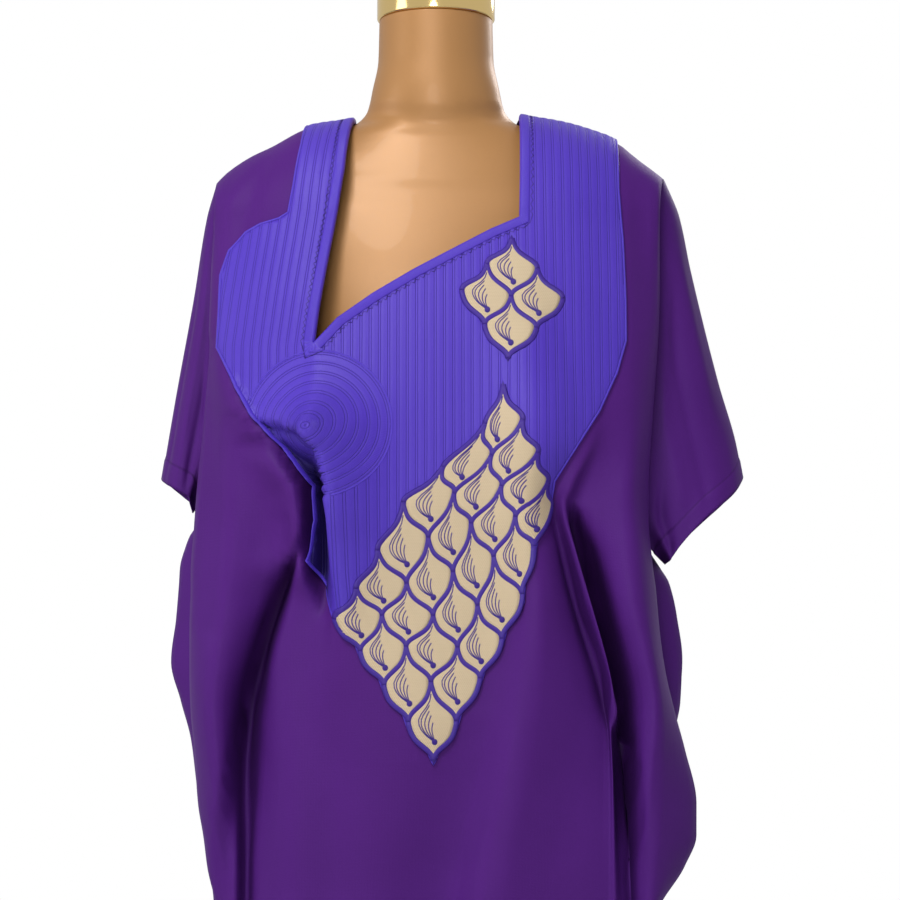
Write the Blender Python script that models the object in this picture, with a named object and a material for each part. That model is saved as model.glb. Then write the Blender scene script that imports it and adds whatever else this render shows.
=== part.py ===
"""A grand boubou robe hung on an armless dress form that stands on a round base.

Lengths are in millimetres until the meshes are made. X runs to the viewer's right,
Y runs away from the viewer and Z runs up from the floor.
"""

import math

import bpy
from mathutils import Vector
from mathutils.geometry import delaunay_2d_cdt

# Cloth thicknesses and gaps
CLOTH = 1.4
SEAM_GAP = 0.35
PLASTRON_CLOTH = 2.0
RIB_HEIGHT = 0.9
RIB_PITCH = 7.6
LEAF_CLOTH = 1.0
LEAF_RISE = 0.8
BINDING_CLOTH = 1.2
BINDING_WIDTH = 7.5

# Facets that bend past this cosine count as a crease
CREASE_COSINE = 0.9

# Twice the area below which a facet is too thin to steer a wall
SLIVER = 0.8

# Shoulder curve of the body panels: below KNEE a height is a real height, and above it
# the panels roll over the shoulder while the drop height runs on to TOP
KNEE = 1360.0
TOP = 1460.0
HEM = 32.0

# Real height of the shoulder fold across the robe
SHOULDER_FOLD = (
    ("x", "height"),
    (-215, 1372),
    (-193, 1391),
    (-182, 1402),
    (-162, 1415.5),
    (-144, 1424),
    (-110, 1441),
    (-71, 1447),
    (0, 1462),
    (74, 1450),
    (110, 1444),
    (144, 1434),
    (158, 1428),
    (175, 1414.5),
    (198, 1397),
    (215, 1381),
)

# Sides of the robe: where the front panel turns back, and how far the back panel
# bulges out beside it
SIDES = (
    ("height", "front_left", "front_right", "back_left", "back_right"),
    (1460, -191, 200, -191, 200),
    (1360, -190, 192, -191, 193),
    (1284, -192, 191, -193, 193),
    (1179, -198, 184, -199, 186),
    (1125, -203, 181, -203, 183),
    (1098, -205, 181, -207, 184),
    (1084, -206, 182, -217, 186),
    (1074, -207, 183, -221, 187),
    (1056, -208, 185, -226, 197),
    (1042, -208, 187, -227, 206),
    (1009, -209, 190, -230, 214),
    (973, -209, 195, -234, 218),
    (938, -208, 203, -225, 216),
    (905, -205, 212, -216, 210),
    (859, -202, 222, -210, 213),
    (832, -198, 222, -205, 210),
    (806, -195, 212, -203, 204),
    (761, -187, 188, -196, 192),
    (480, -205, 202, -214, 210),
    (32, -228, 226, -238, 236),
)

# Fold lines of the front panel, a row for each section from the shoulder to the hem
FRONT_X = (
    ("height", "crest_l", "valley_l", "ridge_l", "hollow_l", "bust_l", "centre", "dip",
     "bust_r", "valley_r", "ridge_r", "deep_r", "crest_r"),
    (1460, -168, -144, -125, -108, -92, -17, 25, 71, 104, 120, 137, 168),
    (1360, -168, -144, -125, -108, -92, -17, 25, 71, 104, 120, 137, 165),
    (1284, -170, -144, -125, -108, -92, -17, 25, 71, 104, 120, 137, 164),
    (1179, -173, -136, -117, -106, -92, -10, 35, 77, 119, 130, 141, 164),
    (1114, -166, -123, -104, -93, -79, -8, 37, 72, 97, 108, 120, 156),
    (1073, -170, -124, -107, -92, -78, -10, 36, 78, 107, 118, 130, 160),
    (1035, -176, -138, -118, -95, -77, -12, 35, 82, 117, 128, 140, 166),
    (939, -187, -165, -143, -106, -73, -20, 25, 73, 144, 151, 162, 184),
    (792, -174, -160, -148, -118, -69, -28, 3, 45, 143, 153, 164, 177),
    (480, -180, -163, -142, -110, -75, -20, 15, 55, 130, 148, 164, 184),
    (32, -198, -168, -138, -106, -78, -15, 25, 65, 118, 142, 168, 202),
)

# How far each fold line stands forward of the shoulder fold
FRONT_DEPTH = (
    ("height", "crest_l", "valley_l", "ridge_l", "hollow_l", "bust_l", "centre", "dip",
     "bust_r", "valley_r", "ridge_r", "deep_r", "crest_r"),
    (1460, 48, 56, 60, 63, 65, 66, 66, 65, 64, 62, 58, 50),
    (1360, 54, 64, 69, 72, 74, 78, 78, 77, 74, 71, 66, 56),
    (1284, 72, 84, 90, 94.5, 97, 100, 99, 98, 91, 88, 83, 74),
    (1179, 84, 93, 98, 104, 113, 110, 108, 114, 100, 97, 92, 84),
    (1114, 92, 89, 92, 80, 115, 112, 111, 114, 95, 99, 84, 90),
    (1073, 92, 78, 90, 80, 109, 110, 109, 112, 90, 98, 68, 92),
    (1035, 90, 58, 85, 86, 106, 108, 108, 110, 86, 96, 58, 92),
    (939, 86, 50, 82, 94, 103, 106, 105, 108, 80, 93, 50, 90),
    (792, 82, 60, 78, 92, 100, 104, 103, 108, 85, 92, 70, 86),
    (480, 92, 70, 96, 86, 104, 100, 96, 108, 84, 98, 70, 92),
    (32, 98, 70, 102, 80, 112, 98, 94, 115, 84, 104, 70, 100),
)

# Inner points of each cup, raised over the fold lines
CUP_HEIGHT = 1180.0
CUP_RADIUS = 26.0
CUPS = (("x", "rise"), (-95, 9), (90, 4))

# Fold lines of the back panel
BACK_X = (
    ("height", "turn_l", "fold_l", "ridge_l", "centre", "ridge_r", "fold_r", "turn_r"),
    (1460, -172, -128, -74, 0, 74, 128, 176),
    (1360, -172, -128, -74, 0, 74, 128, 176),
    (1179, -182, -132, -78, 0, 78, 132, 176),
    (1085, -196, -138, -84, 0, 84, 136, 182),
    (973, -208, -146, -88, 0, 88, 144, 194),
    (859, -196, -140, -80, 0, 84, 142, 196),
    (761, -182, -130, -72, 2, 74, 130, 176),
    (480, -196, -136, -76, 4, 76, 136, 192),
    (32, -218, -148, -84, 0, 84, 146, 214),
)

# How far each fold line stands behind the shoulder fold
BACK_DEPTH = (
    ("height", "turn_l", "fold_l", "ridge_l", "centre", "ridge_r", "fold_r", "turn_r"),
    (1460, 48, 66, 74, 76, 74, 66, 48),
    (1360, 50, 68, 78, 78, 78, 68, 50),
    (1179, 70, 88, 102, 96, 102, 88, 70),
    (1085, 66, 80, 108, 94, 106, 82, 66),
    (973, 70, 76, 114, 94, 112, 80, 70),
    (859, 72, 80, 118, 98, 116, 82, 72),
    (761, 74, 84, 120, 100, 118, 84, 74),
    (480, 82, 88, 126, 100, 124, 88, 82),
    (32, 92, 92, 134, 100, 132, 92, 92),
)

# Depths of the turned edges
EDGE_DEPTH = (("height", "front_edge", "front_seam", "back_seam", "back_out"),
              (1460, 38, 23, 21, 37),
              (1360, 41, 25, 23, 40),
              (1284, 47, 30, 28, 43),
              (1179, 52, 33, 30, 44),
              (32, 50, 33, 30, 44))
LOW_SEAM_DEPTH = 22.0
LOW_OUT_DEPTH = -6.0
SEAM_INSET = 4.0
UNDERARM = {"left": 1116.0, "right": 1070.0}
UNDERARM_RUN = 44.0

# Sleeves: the top fold from the shoulder to the cuff tip
SLEEVE_FOLD = {
    "left": (("share", "x", "y", "height"), (0, -194.5, 0, 1391), (0.11, -203, 1, 1361),
             (0.38, -214, 3, 1292), (0.72, -230, 6, 1203), (1, -241.5, 8, 1134)),
    "right": (("share", "x", "y", "height"), (0, 203, 0, 1392), (0.1, 216, 2, 1361),
              (0.3, 226, 6, 1315), (0.68, 250, 10, 1218), (0.86, 265, 12, 1167),
              (1, 271, 12, 1135)),
}

# Sleeve hems, from the underarm round the front to the tip and back behind
SLEEVE_HEM = {
    "left": (("share", "x", "y", "height"), (0, -213, -6, 1104), (0.12, -213, -27, 1117),
             (0.28, -224, -30, 1125), (0.42, -237, -14, 1131), (0.5, -241.5, 8, 1134),
             (0.58, -238, 22, 1128), (0.72, -226, 27, 1117), (0.88, -214, 16, 1107),
             (1, -213, -6, 1104)),
    "right": (("share", "x", "y", "height"), (0, 201, -4, 1059), (0.1, 203, -27, 1065),
              (0.27, 230, -31, 1098), (0.42, 260, -14, 1122), (0.5, 271, 12, 1135),
              (0.58, 264, 28, 1120), (0.73, 236, 30, 1092), (0.9, 206, 18, 1064),
              (1, 201, -4, 1059)),
}

# Front neck opening, from the left shoulder down to the point and up to the right
NECK = (
    ("x", "height"),
    (-71, 1447),
    (-77.3, 1396),
    (-82.4, 1360),
    (-89.5, 1318),
    (-96.3, 1275),
    (-100, 1245),
    (-80, 1267),
    (-51, 1287.4),
    (-16.5, 1308),
    (14.8, 1325),
    (46.6, 1342.2),
    (71, 1353),
    (72, 1392),
    (72.9, 1430),
    (73.6, 1450),
)

# Edge of the plastron, from the right shoulder round the leaf point to the left
PLASTRON_EDGE = (
    ("x", "height"),
    (156, 1428.8),
    (154, 1380),
    (157, 1335),
    (158, 1284),
    (158, 1250),
    (150, 1223),
    (135, 1192),
    (115, 1161),
    (97, 1134),
    (98, 1112),
    (88, 1069),
    (77, 1031),
    (60, 997),
    (38, 960),
    (19, 919),
    (-2, 901),
    (-24, 919),
    (-43, 953),
    (-72, 990),
    (-80, 1022),
    (-94, 1045),
    (-108, 1067),
    (-102, 1101),
    (-104, 1129),
    (-118, 1149),
    (-141, 1179),
    (-163, 1210),
    (-182, 1245),
    (-180, 1276),
    (-179, 1306),
    (-173, 1327),
    (-160, 1342),
    (-146, 1349),
    (-131, 1353),
    (-123, 1358),
    (-119, 1381),
    (-114, 1418),
    (-111, 1440.8),
)

# Leaf lattice: crossing points of its curved rows, a row for each slanting line
LATTICE = (
    ("row", "first_x", "first_z", "middle_x", "middle_z", "last_x", "last_z"),
    (-1, 56.3, 1212, 83, 1157.4, 94, 1112.5),
    (0, 41.6, 1180.2, 54.7, 1129.7, 79.9, 1080.8),
    (1, 6.6, 1145, 29.4, 1099.5, 71.8, 1041.6),
    (2, -26, 1116.6, 14.7, 1059.6, 54.7, 1005),
    (3, -46.4, 1077.5, -1.5, 1023.7, 36.8, 972.4),
    (4, -62.7, 1046.5, -23.6, 998.4, 17.2, 937.3),
    (5, -80, 1021, -41.5, 966.7, -1.6, 904.7),
)
LATTICE_ROWS = 6
LATTICE_COLUMNS = 4

# Upper cluster of four leaves: its corner points
CLUSTER = (
    ("row", "first_x", "first_z", "middle_x", "middle_z", "last_x", "last_z"),
    (-1, 63.5, 1334, 84, 1308.5, 104.8, 1284),
    (1, 22.2, 1290, 41, 1262, 60.2, 1234),
)
LEAF_SCALE = 0.88
LEAF_SKEW = 0.06
LEAF_MARGIN = 0.11

# Stitched rings round the left cup
RING_CENTRE = (-95.0, 1180.0)
RING_RADIUS = 60.0
RING_PITCH = 8.0

# Dress form: level sections of the torso, and the round neck
FORM = (
    ("height", "half_width", "front", "back"),
    (820, 128, 74, 84),
    (835, 144, 82, 84),
    (900, 160, 85, 88),
    (960, 154, 82, 82),
    (1040, 120, 74, 70),
    (1115, 130, 80, 76),
    (1180, 146, 90, 80),
    (1250, 158, 86, 80),
    (1320, 172, 72, 72),
    (1360, 181, 62, 64),
    (1380, 186, 56, 60),
    (1390, 184.5, 54, 58),
    (1400, 177.5, 51, 54),
    (1412, 158.5, 48, 52),
    (1421, 138.5, 46, 50),
    (1431, 115, 44.5, 48),
    (1438, 92, 44.5, 47),
    (1445, 70, 46, 48),
    (1456, 60, 48.6, 49.6),
    (1475, 55.5, 50, 50.5),
    (1500, 50.6, 49.6, 49.6),
    (1534.6, 49.6, 49.6, 49.6),
)
FORM_BUST = {"x": 91.0, "height": 1178.0, "rise": 38.0, "across": 35.0, "up": 30.0}
CAP_PROFILE = (("radius", "height"), (50.2, 1535), (51.6, 1536), (51.6, 1564), (48, 1570),
               (30, 1574))
POLE_PROFILE = (("radius", "height"), (13, 22.3), (13, 806), (34, 812), (46, 819.6))
BASE_PROFILE = (("radius", "height"), (147, 0), (150, 3), (150, 7), (143, 11), (60, 17),
                (24, 22))

# Colours of the construction solids
COLOURS = {
    "purple": (0.075, 0.014, 0.16, 0.55, 0.0),
    "violet": (0.085, 0.04, 0.44, 0.5, 0.0),
    "cream": (0.66, 0.52, 0.36, 0.7, 0.0),
    "tan": (0.56, 0.29, 0.1, 0.35, 0.6),
    "gold": (0.85, 0.62, 0.28, 0.15, 1.0),
    "steel": (0.35, 0.34, 0.33, 0.35, 1.0),
}


def columns(table, *names):
    """Return the named columns of a table as lists of floats."""
    heading = table[0]
    picks = [heading.index(name) for name in names]
    return [[float(row[pick]) for row in table[1:]] for pick in picks]


def smooth(keys, values, key):
    """Read a value between table rows along a curve that never overshoots a row."""
    if keys[0] > keys[-1]:
        keys = keys[::-1]
        values = values[::-1]
    key = min(max(key, keys[0]), keys[-1])
    last = len(keys) - 1
    low = max(i for i in range(last) if keys[i] <= key)
    run = keys[low + 1] - keys[low]
    rise = (values[low + 1] - values[low]) / run
    slopes = []
    for i in (low, low + 1):
        if i in (0, last):
            slopes.append(rise)
            continue
        before = (values[i] - values[i - 1]) / (keys[i] - keys[i - 1])
        after = (values[i + 1] - values[i]) / (keys[i + 1] - keys[i])
        flat = before * after <= 0
        slopes.append(0.0 if flat else 2.0 * before * after / (before + after))
    t = (key - keys[low]) / run
    start = (1 + 2 * t) * (1 - t) ** 2 * values[low] + t * (1 - t) ** 2 * run * slopes[0]
    end = t * t * (3 - 2 * t) * values[low + 1] + t * t * (t - 1) * run * slopes[1]
    return start + end


def ease(t):
    """Run smoothly from nought to one."""
    t = min(max(t, 0.0), 1.0)
    return t * t * (3 - 2 * t)


def fold_height(x):
    """Real height of the shoulder fold at a place across the robe."""
    keys, values = columns(SHOULDER_FOLD, "x", "height")
    return smooth(keys, values, x)


def drop_height(x, height):
    """Turn a real height at x into a drop height on the panels."""
    if height <= KNEE:
        return height
    share = (height - KNEE) / (fold_height(x) - KNEE)
    return KNEE + (TOP - KNEE) * math.asin(min(share, 1.0)) * 2 / math.pi


def roll(x, depth, drop):
    """Place a point of given depth on the panel, rolled over the shoulder near the top."""
    turn = math.pi / 2 * min(max((drop - KNEE) / (TOP - KNEE), 0.0), 1.0)
    height = drop if drop <= KNEE else KNEE + (fold_height(x) - KNEE) * math.sin(turn)
    return Vector((x, depth * math.cos(turn), height))


class Panel:
    """A body panel whose level sections run through named fold lines."""

    def __init__(self, x_table, depth_table, facing):
        self.facing = facing
        self.x_table = x_table
        self.depth_table = depth_table
        self.count = len(x_table[0]) + 3
        self.kept = {}

    def side(self, name, drop):
        """Return the turned edge and seam of one side as (x, depth) pairs."""
        heights, edges = columns(SIDES, "height", self.facing + "_" + name)
        fronts = columns(SIDES, "front_" + name)[0]
        sign = -1 if name == "left" else 1
        edge_x = smooth(heights, edges, drop)
        inset = SEAM_INSET * (1 - 1.05 * ease((drop - 1320) / 125))
        seam_x = smooth(heights, fronts, drop) - sign * inset
        levels, edge, front_seam, back_seam, back_out = columns(
            EDGE_DEPTH, "height", "front_edge", "front_seam", "back_seam", "back_out")
        up = ease((drop - UNDERARM[name]) / UNDERARM_RUN)
        if self.facing == "front":
            seam = LOW_SEAM_DEPTH * (1 - up) + smooth(levels, front_seam, drop) * up
            return (edge_x, smooth(levels, edge, drop)), (seam_x, seam)
        seam = (SEAM_GAP - LOW_SEAM_DEPTH) * (1 - up) + smooth(levels, back_seam, drop) * up
        out = LOW_OUT_DEPTH * (up - 1) + smooth(levels, back_out, drop) * up
        return (edge_x, out), (seam_x, seam)

    def section(self, drop):
        """Return the x and depth of every fold line at one drop height."""
        if drop not in self.kept:
            heights = columns(self.x_table, "height")[0]
            depth_heights = columns(self.depth_table, "height")[0]
            names = self.x_table[0][1:]
            across = [smooth(heights, columns(self.x_table, n)[0], drop) for n in names]
            depths = [smooth(depth_heights, columns(self.depth_table, n)[0], drop)
                      for n in names]
            edge_l, seam_l = self.side("left", drop)
            edge_r, seam_r = self.side("right", drop)
            self.kept[drop] = (
                [seam_l[0], edge_l[0]] + across + [edge_r[0], seam_r[0]],
                [seam_l[1], edge_l[1]] + depths + [edge_r[1], seam_r[1]],
            )
        return self.kept[drop]

    def point(self, line, drop):
        """Place the point at a fold line number, which may lie between two lines."""
        across, depths = self.section(drop)
        lines = list(range(self.count))
        x = smooth(lines, across, line)
        depth = smooth(lines, depths, line)
        if self.facing == "front":
            for cup_x, rise in CUPS[1:]:
                away = (x - cup_x) ** 2 + (drop - CUP_HEIGHT) ** 2
                depth += rise * math.exp(-away / (2 * CUP_RADIUS ** 2))
        spot = roll(x, depth, drop)
        if self.facing == "front":
            spot.y = -spot.y
        return spot

    def spread(self, line, drop):
        """Flat position across the panel, with the turned edges laid out sideways."""
        across, depths = self.section(drop)
        last = self.count - 1
        if line < 1:
            return across[1] - (1 - line) * self.turn(0, drop)
        if line > last - 1:
            return across[last - 1] + (line - last + 1) * self.turn(last - 1, drop)
        return smooth(list(range(self.count)), across, line)

    def turn(self, line, drop):
        """Length of a turned edge between its fold line and its seam."""
        across, depths = self.section(drop)
        return math.hypot(across[line + 1] - across[line], depths[line + 1] - depths[line])

    def line_at(self, flat, drop):
        """Find the fold line number at a flat position."""
        low, high = 0.0, float(self.count - 1)
        for _ in range(40):
            middle = (low + high) / 2
            if self.spread(middle, drop) < flat:
                low = middle
            else:
                high = middle
        return (low + high) / 2

    def at(self, flat, drop):
        """Place a flat position of the panel in space."""
        return self.point(self.line_at(flat, drop), drop)


def inside(point, outline):
    """Tell whether a flat point lies inside a closed outline."""
    x, y = point
    hit = False
    for i, (x1, y1) in enumerate(outline):
        x0, y0 = outline[i - 1]
        if (y0 > y) != (y1 > y) and x < (x0 - x1) * (y - y1) / (y0 - y1) + x1:
            hit = not hit
    return hit


def distance(point, outline, closed=True):
    """Shortest flat distance from a point to an outline."""
    best = 1e9
    spot = Vector(point)
    for i in range(0 if closed else 1, len(outline)):
        start = Vector(outline[i - 1])
        run = Vector(outline[i]) - start
        t = min(max((spot - start).dot(run) / max(run.length_squared, 1e-9), 0.0), 1.0)
        best = min(best, (spot - start - run * t).length)
    return best


def triangulate(boundary, loops, strands, points, keep_off, runs=()):
    """Fill a flat boundary with triangles that follow the loops, strands and runs."""
    verts = list(boundary)
    face = list(range(len(boundary)))
    edges = []
    for run in runs:
        first = len(verts)
        verts += run
        edges += [(first + i, first + i + 1) for i in range(len(run) - 1)]
    laid = {spot for run in runs for spot in run}
    for loop, closed in [(item, True) for item in loops] + [(item, False) for item in strands]:
        numbers = []
        for spot in loop:
            match = [i for i, v in enumerate(verts) if math.dist(v, spot) < 0.05]
            numbers.append(match[0] if match else len(verts))
            if not match:
                verts.append(spot)
        pairs = zip(numbers, numbers[1:] + (numbers[:1] if closed else []))
        edges += [pair for pair in pairs if pair[0] != pair[1]]
    for spot in points:
        if spot in laid:
            continue
        clear = distance(spot, boundary) > keep_off
        clear = clear and all(distance(spot, loop) > keep_off for loop in loops)
        clear = clear and all(distance(spot, one, False) > keep_off for one in strands)
        if clear and inside(spot, boundary):
            verts.append(spot)
    out = delaunay_2d_cdt([Vector(v) for v in verts], edges, [face], 1, 1e-4)
    flats = [tuple(v) for v in out[0]]
    triangles = []
    for corners in out[2]:
        a, b, c = (flats[i] for i in corners)
        area = (b[0] - a[0]) * (c[1] - a[1]) - (c[0] - a[0]) * (b[1] - a[1])
        if abs(area) > 1e-6:
            triangles.append(tuple(corners) if area > 0 else tuple(corners[::-1]))
    return flats, triangles


def push_directions(spots, triangles, seams=()):
    """Direction and stretch that move every facet round a point out by one.

    A point on a seam is kept in the upright plane of the seam.
    """
    faces = [[] for _ in spots]
    for a, b, c in triangles:
        normal = (spots[b] - spots[a]).cross(spots[c] - spots[a])
        for i in (a, b, c):
            faces[i].append(normal)
    pushes = []
    for i, normals in enumerate(faces):
        normals = [n for n in normals if n.length > SLIVER] or normals
        total = sum((n.normalized() for n in normals), Vector())
        if i in seams:
            total.y = 0.0
        total.normalize()
        least = min([total.dot(n.normalized()) for n in normals] or [1.0])
        pushes.append(total / max(least, 0.42))
    return pushes


def wall(outer, inner, triangles):
    """Close an outer and an inner skin that share triangles into one solid."""
    used = sorted({i for corners in triangles for i in corners})
    place = {old: new for new, old in enumerate(used)}
    shift = len(used)
    verts = [outer[i] for i in used] + [inner[i] for i in used]
    faces = [tuple(place[i] for i in corners) for corners in triangles]
    rims = {(a, b) for f in faces for a, b in zip(f, f[1:] + f[:1])}
    rims = [(a, b) for a, b in rims if (b, a) not in rims]
    faces += [tuple(i + shift for i in f[::-1]) for f in list(faces)]
    for a, b in rims:
        faces.append((b, a, a + shift))
        faces.append((b, a + shift, b + shift))
    return verts, faces


def material(name):
    """Make one plain material for a construction solid."""
    red, green, blue, rough, metal = COLOURS[name]
    made = bpy.data.materials.new(name)
    made.use_nodes = True
    shader = made.node_tree.nodes["Principled BSDF"]
    shader.inputs["Base Color"].default_value = (red, green, blue, 1)
    shader.inputs["Roughness"].default_value = rough
    shader.inputs["Metallic"].default_value = metal
    made.diffuse_color = (red, green, blue, 1)
    return made


def add_object(name, verts, faces, colour, rounded=True):
    """Add one solid to the scene, in metres."""
    mesh = bpy.data.meshes.new(name)
    mesh.from_pydata([tuple(Vector(v) * 0.001) for v in verts], [], faces)
    mesh.materials.append(material(colour))
    for face in mesh.polygons:
        face.use_smooth = rounded
    mesh.validate()
    made = bpy.data.objects.new(name, mesh)
    bpy.context.scene.collection.objects.link(made)
    return made


def turned(name, profile, colour, steps=32):
    """Add a solid of revolution from a table of radius and height."""
    radii, heights = columns(profile, "radius", "height")
    verts = [Vector((0, 0, heights[0]))]
    for radius, height in zip(radii, heights):
        for k in range(steps):
            angle = 2 * math.pi * k / steps
            verts.append(Vector((radius * math.cos(angle), radius * math.sin(angle), height)))
    verts.append(Vector((0, 0, heights[-1])))
    faces = ring_faces(len(radii), steps)
    return add_object(name, verts, faces, colour)


def ring_faces(rings, steps):
    """Faces of a closed stack of rings with one point at each end."""
    faces = []
    for k in range(steps):
        after = (k + 1) % steps
        faces.append((0, 1 + after, 1 + k))
        top = 1 + (rings - 1) * steps
        faces.append((1 + rings * steps, top + k, top + after))
        for r in range(rings - 1):
            low = 1 + r * steps
            high = low + steps
            faces.append((low + k, low + after, high + after, high + k))
    return faces


def even_line(line, step):
    """Add points to an open line so that none of its spans is longer than a step."""
    spots = [line[0]]
    for start, end in zip(line, line[1:]):
        count = max(1, math.ceil(math.dist(start, end) / step - 0.2))
        spots += [tuple(Vector(start).lerp(Vector(end), (k + 1) / count))
                  for k in range(count)]
    return spots


def neck_line():
    """Front neck edge as flat positions with drop heights."""
    return even_line(on_drop(NECK[1:]), 18)


def plastron_edge_line():
    """Free edge of the plastron as flat positions with drop heights."""
    return even_line(on_drop(PLASTRON_EDGE[1:]), 32)


def inset_line(line, width):
    """Move an open line to its left by a width, easing sharp corners."""
    moved = []
    for i, spot in enumerate(line):
        before = Vector(line[i]) - Vector(line[max(i - 1, 0)])
        after = Vector(line[min(i + 1, len(line) - 1)]) - Vector(line[i])
        ways = [way.normalized() for way in (before, after) if way.length > 1e-6]
        sides = [Vector((way.y, -way.x)) for way in ways]
        side = sum(sides, Vector((0.0, 0.0))).normalized()
        reach = width / max(side.dot(sides[0]), 0.62)
        moved.append(tuple(Vector(spot) + side * reach))
    moved[0] = (moved[0][0], TOP)
    moved[-1] = (moved[-1][0], TOP)
    return moved


def row_heights(steps):
    """Drop heights of the point rows from a table of spans."""
    rows = []
    for top, bottom, count in steps:
        rows += [top + (bottom - top) * k / count for k in range(count)]
    return rows + [steps[-1][1]]


def grid_points(panel, rows, splits):
    """Flat points along the fold lines, with extra points between them."""
    lines = [i + k / split for i, split in enumerate(splits) for k in range(split)]
    lines.append(float(len(splits)))
    points = []
    for drop in rows[1:-1]:
        points += [(panel.spread(line, drop), drop) for line in lines[1:-1]]
    return points


def side_line(panel, rows, line):
    """Flat points down one seam of a panel."""
    return [(panel.spread(line, drop), drop) for drop in rows]


def seam_points(flats, left, right):
    """Numbers of the flat points on the shoulder and side seams."""
    sides = left + right
    return {i for i, flat in enumerate(flats) if flat[1] > TOP - 0.01
            or any(math.dist(flat, spot) < 0.01 for spot in sides)}


def make_front(panel):
    """Add the front panel and return its flat mesh for the pieces laid on it."""
    rows = row_heights(((TOP, KNEE, 5), (KNEE, 1140, 9), (1140, 1040, 6), (1040, 900, 6),
                        (900, 480, 6), (480, HEM, 4)))
    splits = (1, 2, 2, 1, 1, 1, 3, 2, 2, 1, 1, 1, 2, 2, 1)
    last = float(panel.count - 1)
    neck = neck_line()
    edge = plastron_edge_line()
    binding = inset_line(neck, BINDING_WIDTH)
    left = side_line(panel, rows, 0.0)
    right = side_line(panel, rows, last)
    hem = [(panel.spread(i + 0.0, HEM), HEM) for i in range(1, panel.count - 1)]
    top_left = [(-182, TOP), (-162, TOP), (-144, TOP), (-128, TOP), edge[-1], (-94, TOP)]
    top_left += binding[:1]
    top_right = binding[-1:] + [(96, TOP), (115, TOP), (135, TOP), edge[0], (178, TOP)]
    top_right += [(190, TOP)]
    boundary = left[::-1] + top_left + neck + top_right + right + hem[::-1]
    flats, triangles = triangulate(boundary, [], [edge], grid_points(panel, rows, splits), 4.5)
    spots = [panel.at(*flat) for flat in flats]
    pushes = push_directions(spots, triangles, seam_points(flats, left, right))
    inner = [spot - push * CLOTH for spot, push in zip(spots, pushes)]
    add_object("front", *wall(spots, inner, triangles), "purple")
    return flats, triangles, spots, pushes


def leaf_node(table, row, column):
    """Crossing point of a leaf lattice at a row and column, which may be fractions."""
    rows = columns(table, "row")[0]
    ends = columns(table, "first_x", "first_z", "middle_x", "middle_z", "last_x", "last_z")
    low = max(i for i in range(len(rows) - 1) if rows[i] <= max(row, rows[0]))
    share = (row - rows[low]) / (rows[low + 1] - rows[low])
    x0, z0, x1, z1, x2, z2 = [end[low] * (1 - share) + end[low + 1] * share for end in ends]
    span = 4.0 if table is LATTICE else 2.0
    t = (column + 1) / span
    first, middle, last = (1 - t) * (1 - 2 * t), 4 * t * (1 - t), t * (2 * t - 1)
    return (x0 * first + x1 * middle + x2 * last, z0 * first + z1 * middle + z2 * last)


def leaf_point(table, row, column, share, spread):
    """Point at a share of a leaf's length, spread to a side of its middle line."""
    return leaf_node(table, row - share - spread / 2, column - share + spread / 2)


def leaf_side(table, row, column, side, shares, scale, margin=0.0):
    """Points along one side of a leaf, moved outward by a margin."""
    points = []
    for share in shares:
        warped = share + LEAF_SKEW * (1 - math.cos(4 * math.pi * share)) / 2
        spread = scale * (1 - math.cos(2 * math.pi * warped)) / 2 + margin
        up = 0.5 + (share - 0.5) * scale
        points.append(leaf_point(table, row, column, up, side * spread))
    return points


def leaf_outline(table, row, column):
    """Closed outline of one leaf, from its foot round the right side to its tip."""
    shares = (0.0, 0.12, 0.26, 0.42, 0.58, 0.76, 1.0)
    right = leaf_side(table, row, column, 1, shares, LEAF_SCALE)
    left = leaf_side(table, row, column, -1, shares[-2:0:-1], LEAF_SCALE)
    return on_drop(right + left)


def leaf_border(table, rows, columns_wide):
    """Scalloped edge round a whole group of leaves."""
    last, side = rows - 1, columns_wide - 1
    low, high = (0.1, 0.25, 0.4), (0.6, 0.75, 0.9)
    loop = [leaf_point(table, last, side, -0.06, 0.0)]
    for i in range(last, -1, -1):
        loop += leaf_side(table, i, side, 1, low, 1.0, LEAF_MARGIN)
    loop += leaf_side(table, 0, side, 1, (0.5,), 1.0, LEAF_MARGIN)
    for j in range(side, -1, -1):
        loop += leaf_side(table, 0, j, 1, high, 1.0, LEAF_MARGIN)
    loop.append(leaf_point(table, 0, 0, 1.06, 0.0))
    for i in range(rows):
        loop += leaf_side(table, i, 0, -1, high[::-1], 1.0, LEAF_MARGIN)
    loop += leaf_side(table, last, 0, -1, (0.5,), 1.0, LEAF_MARGIN)
    for j in range(columns_wide):
        loop += leaf_side(table, last, j, -1, low[::-1], 1.0, LEAF_MARGIN)
    return on_drop(loop)


def on_drop(points):
    """Turn points of real height into flat positions with drop heights."""
    return [(x, drop_height(x, z)) for x, z in points]


def leaf_group(table, rows, columns_wide):
    """Border, leaf outlines and groove points of one group of leaves."""
    cells = [(i, j) for i in range(rows) for j in range(columns_wide)]
    outlines = [leaf_outline(table, i, j) for i, j in cells]
    grooves = []
    for i, j in cells:
        for side in (-1, 1):
            grooves += leaf_side(table, i, j, side, (0.0, 0.13, 0.27, 0.4), 1.0)
    return leaf_border(table, rows, columns_wide), outlines, on_drop(grooves)


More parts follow.
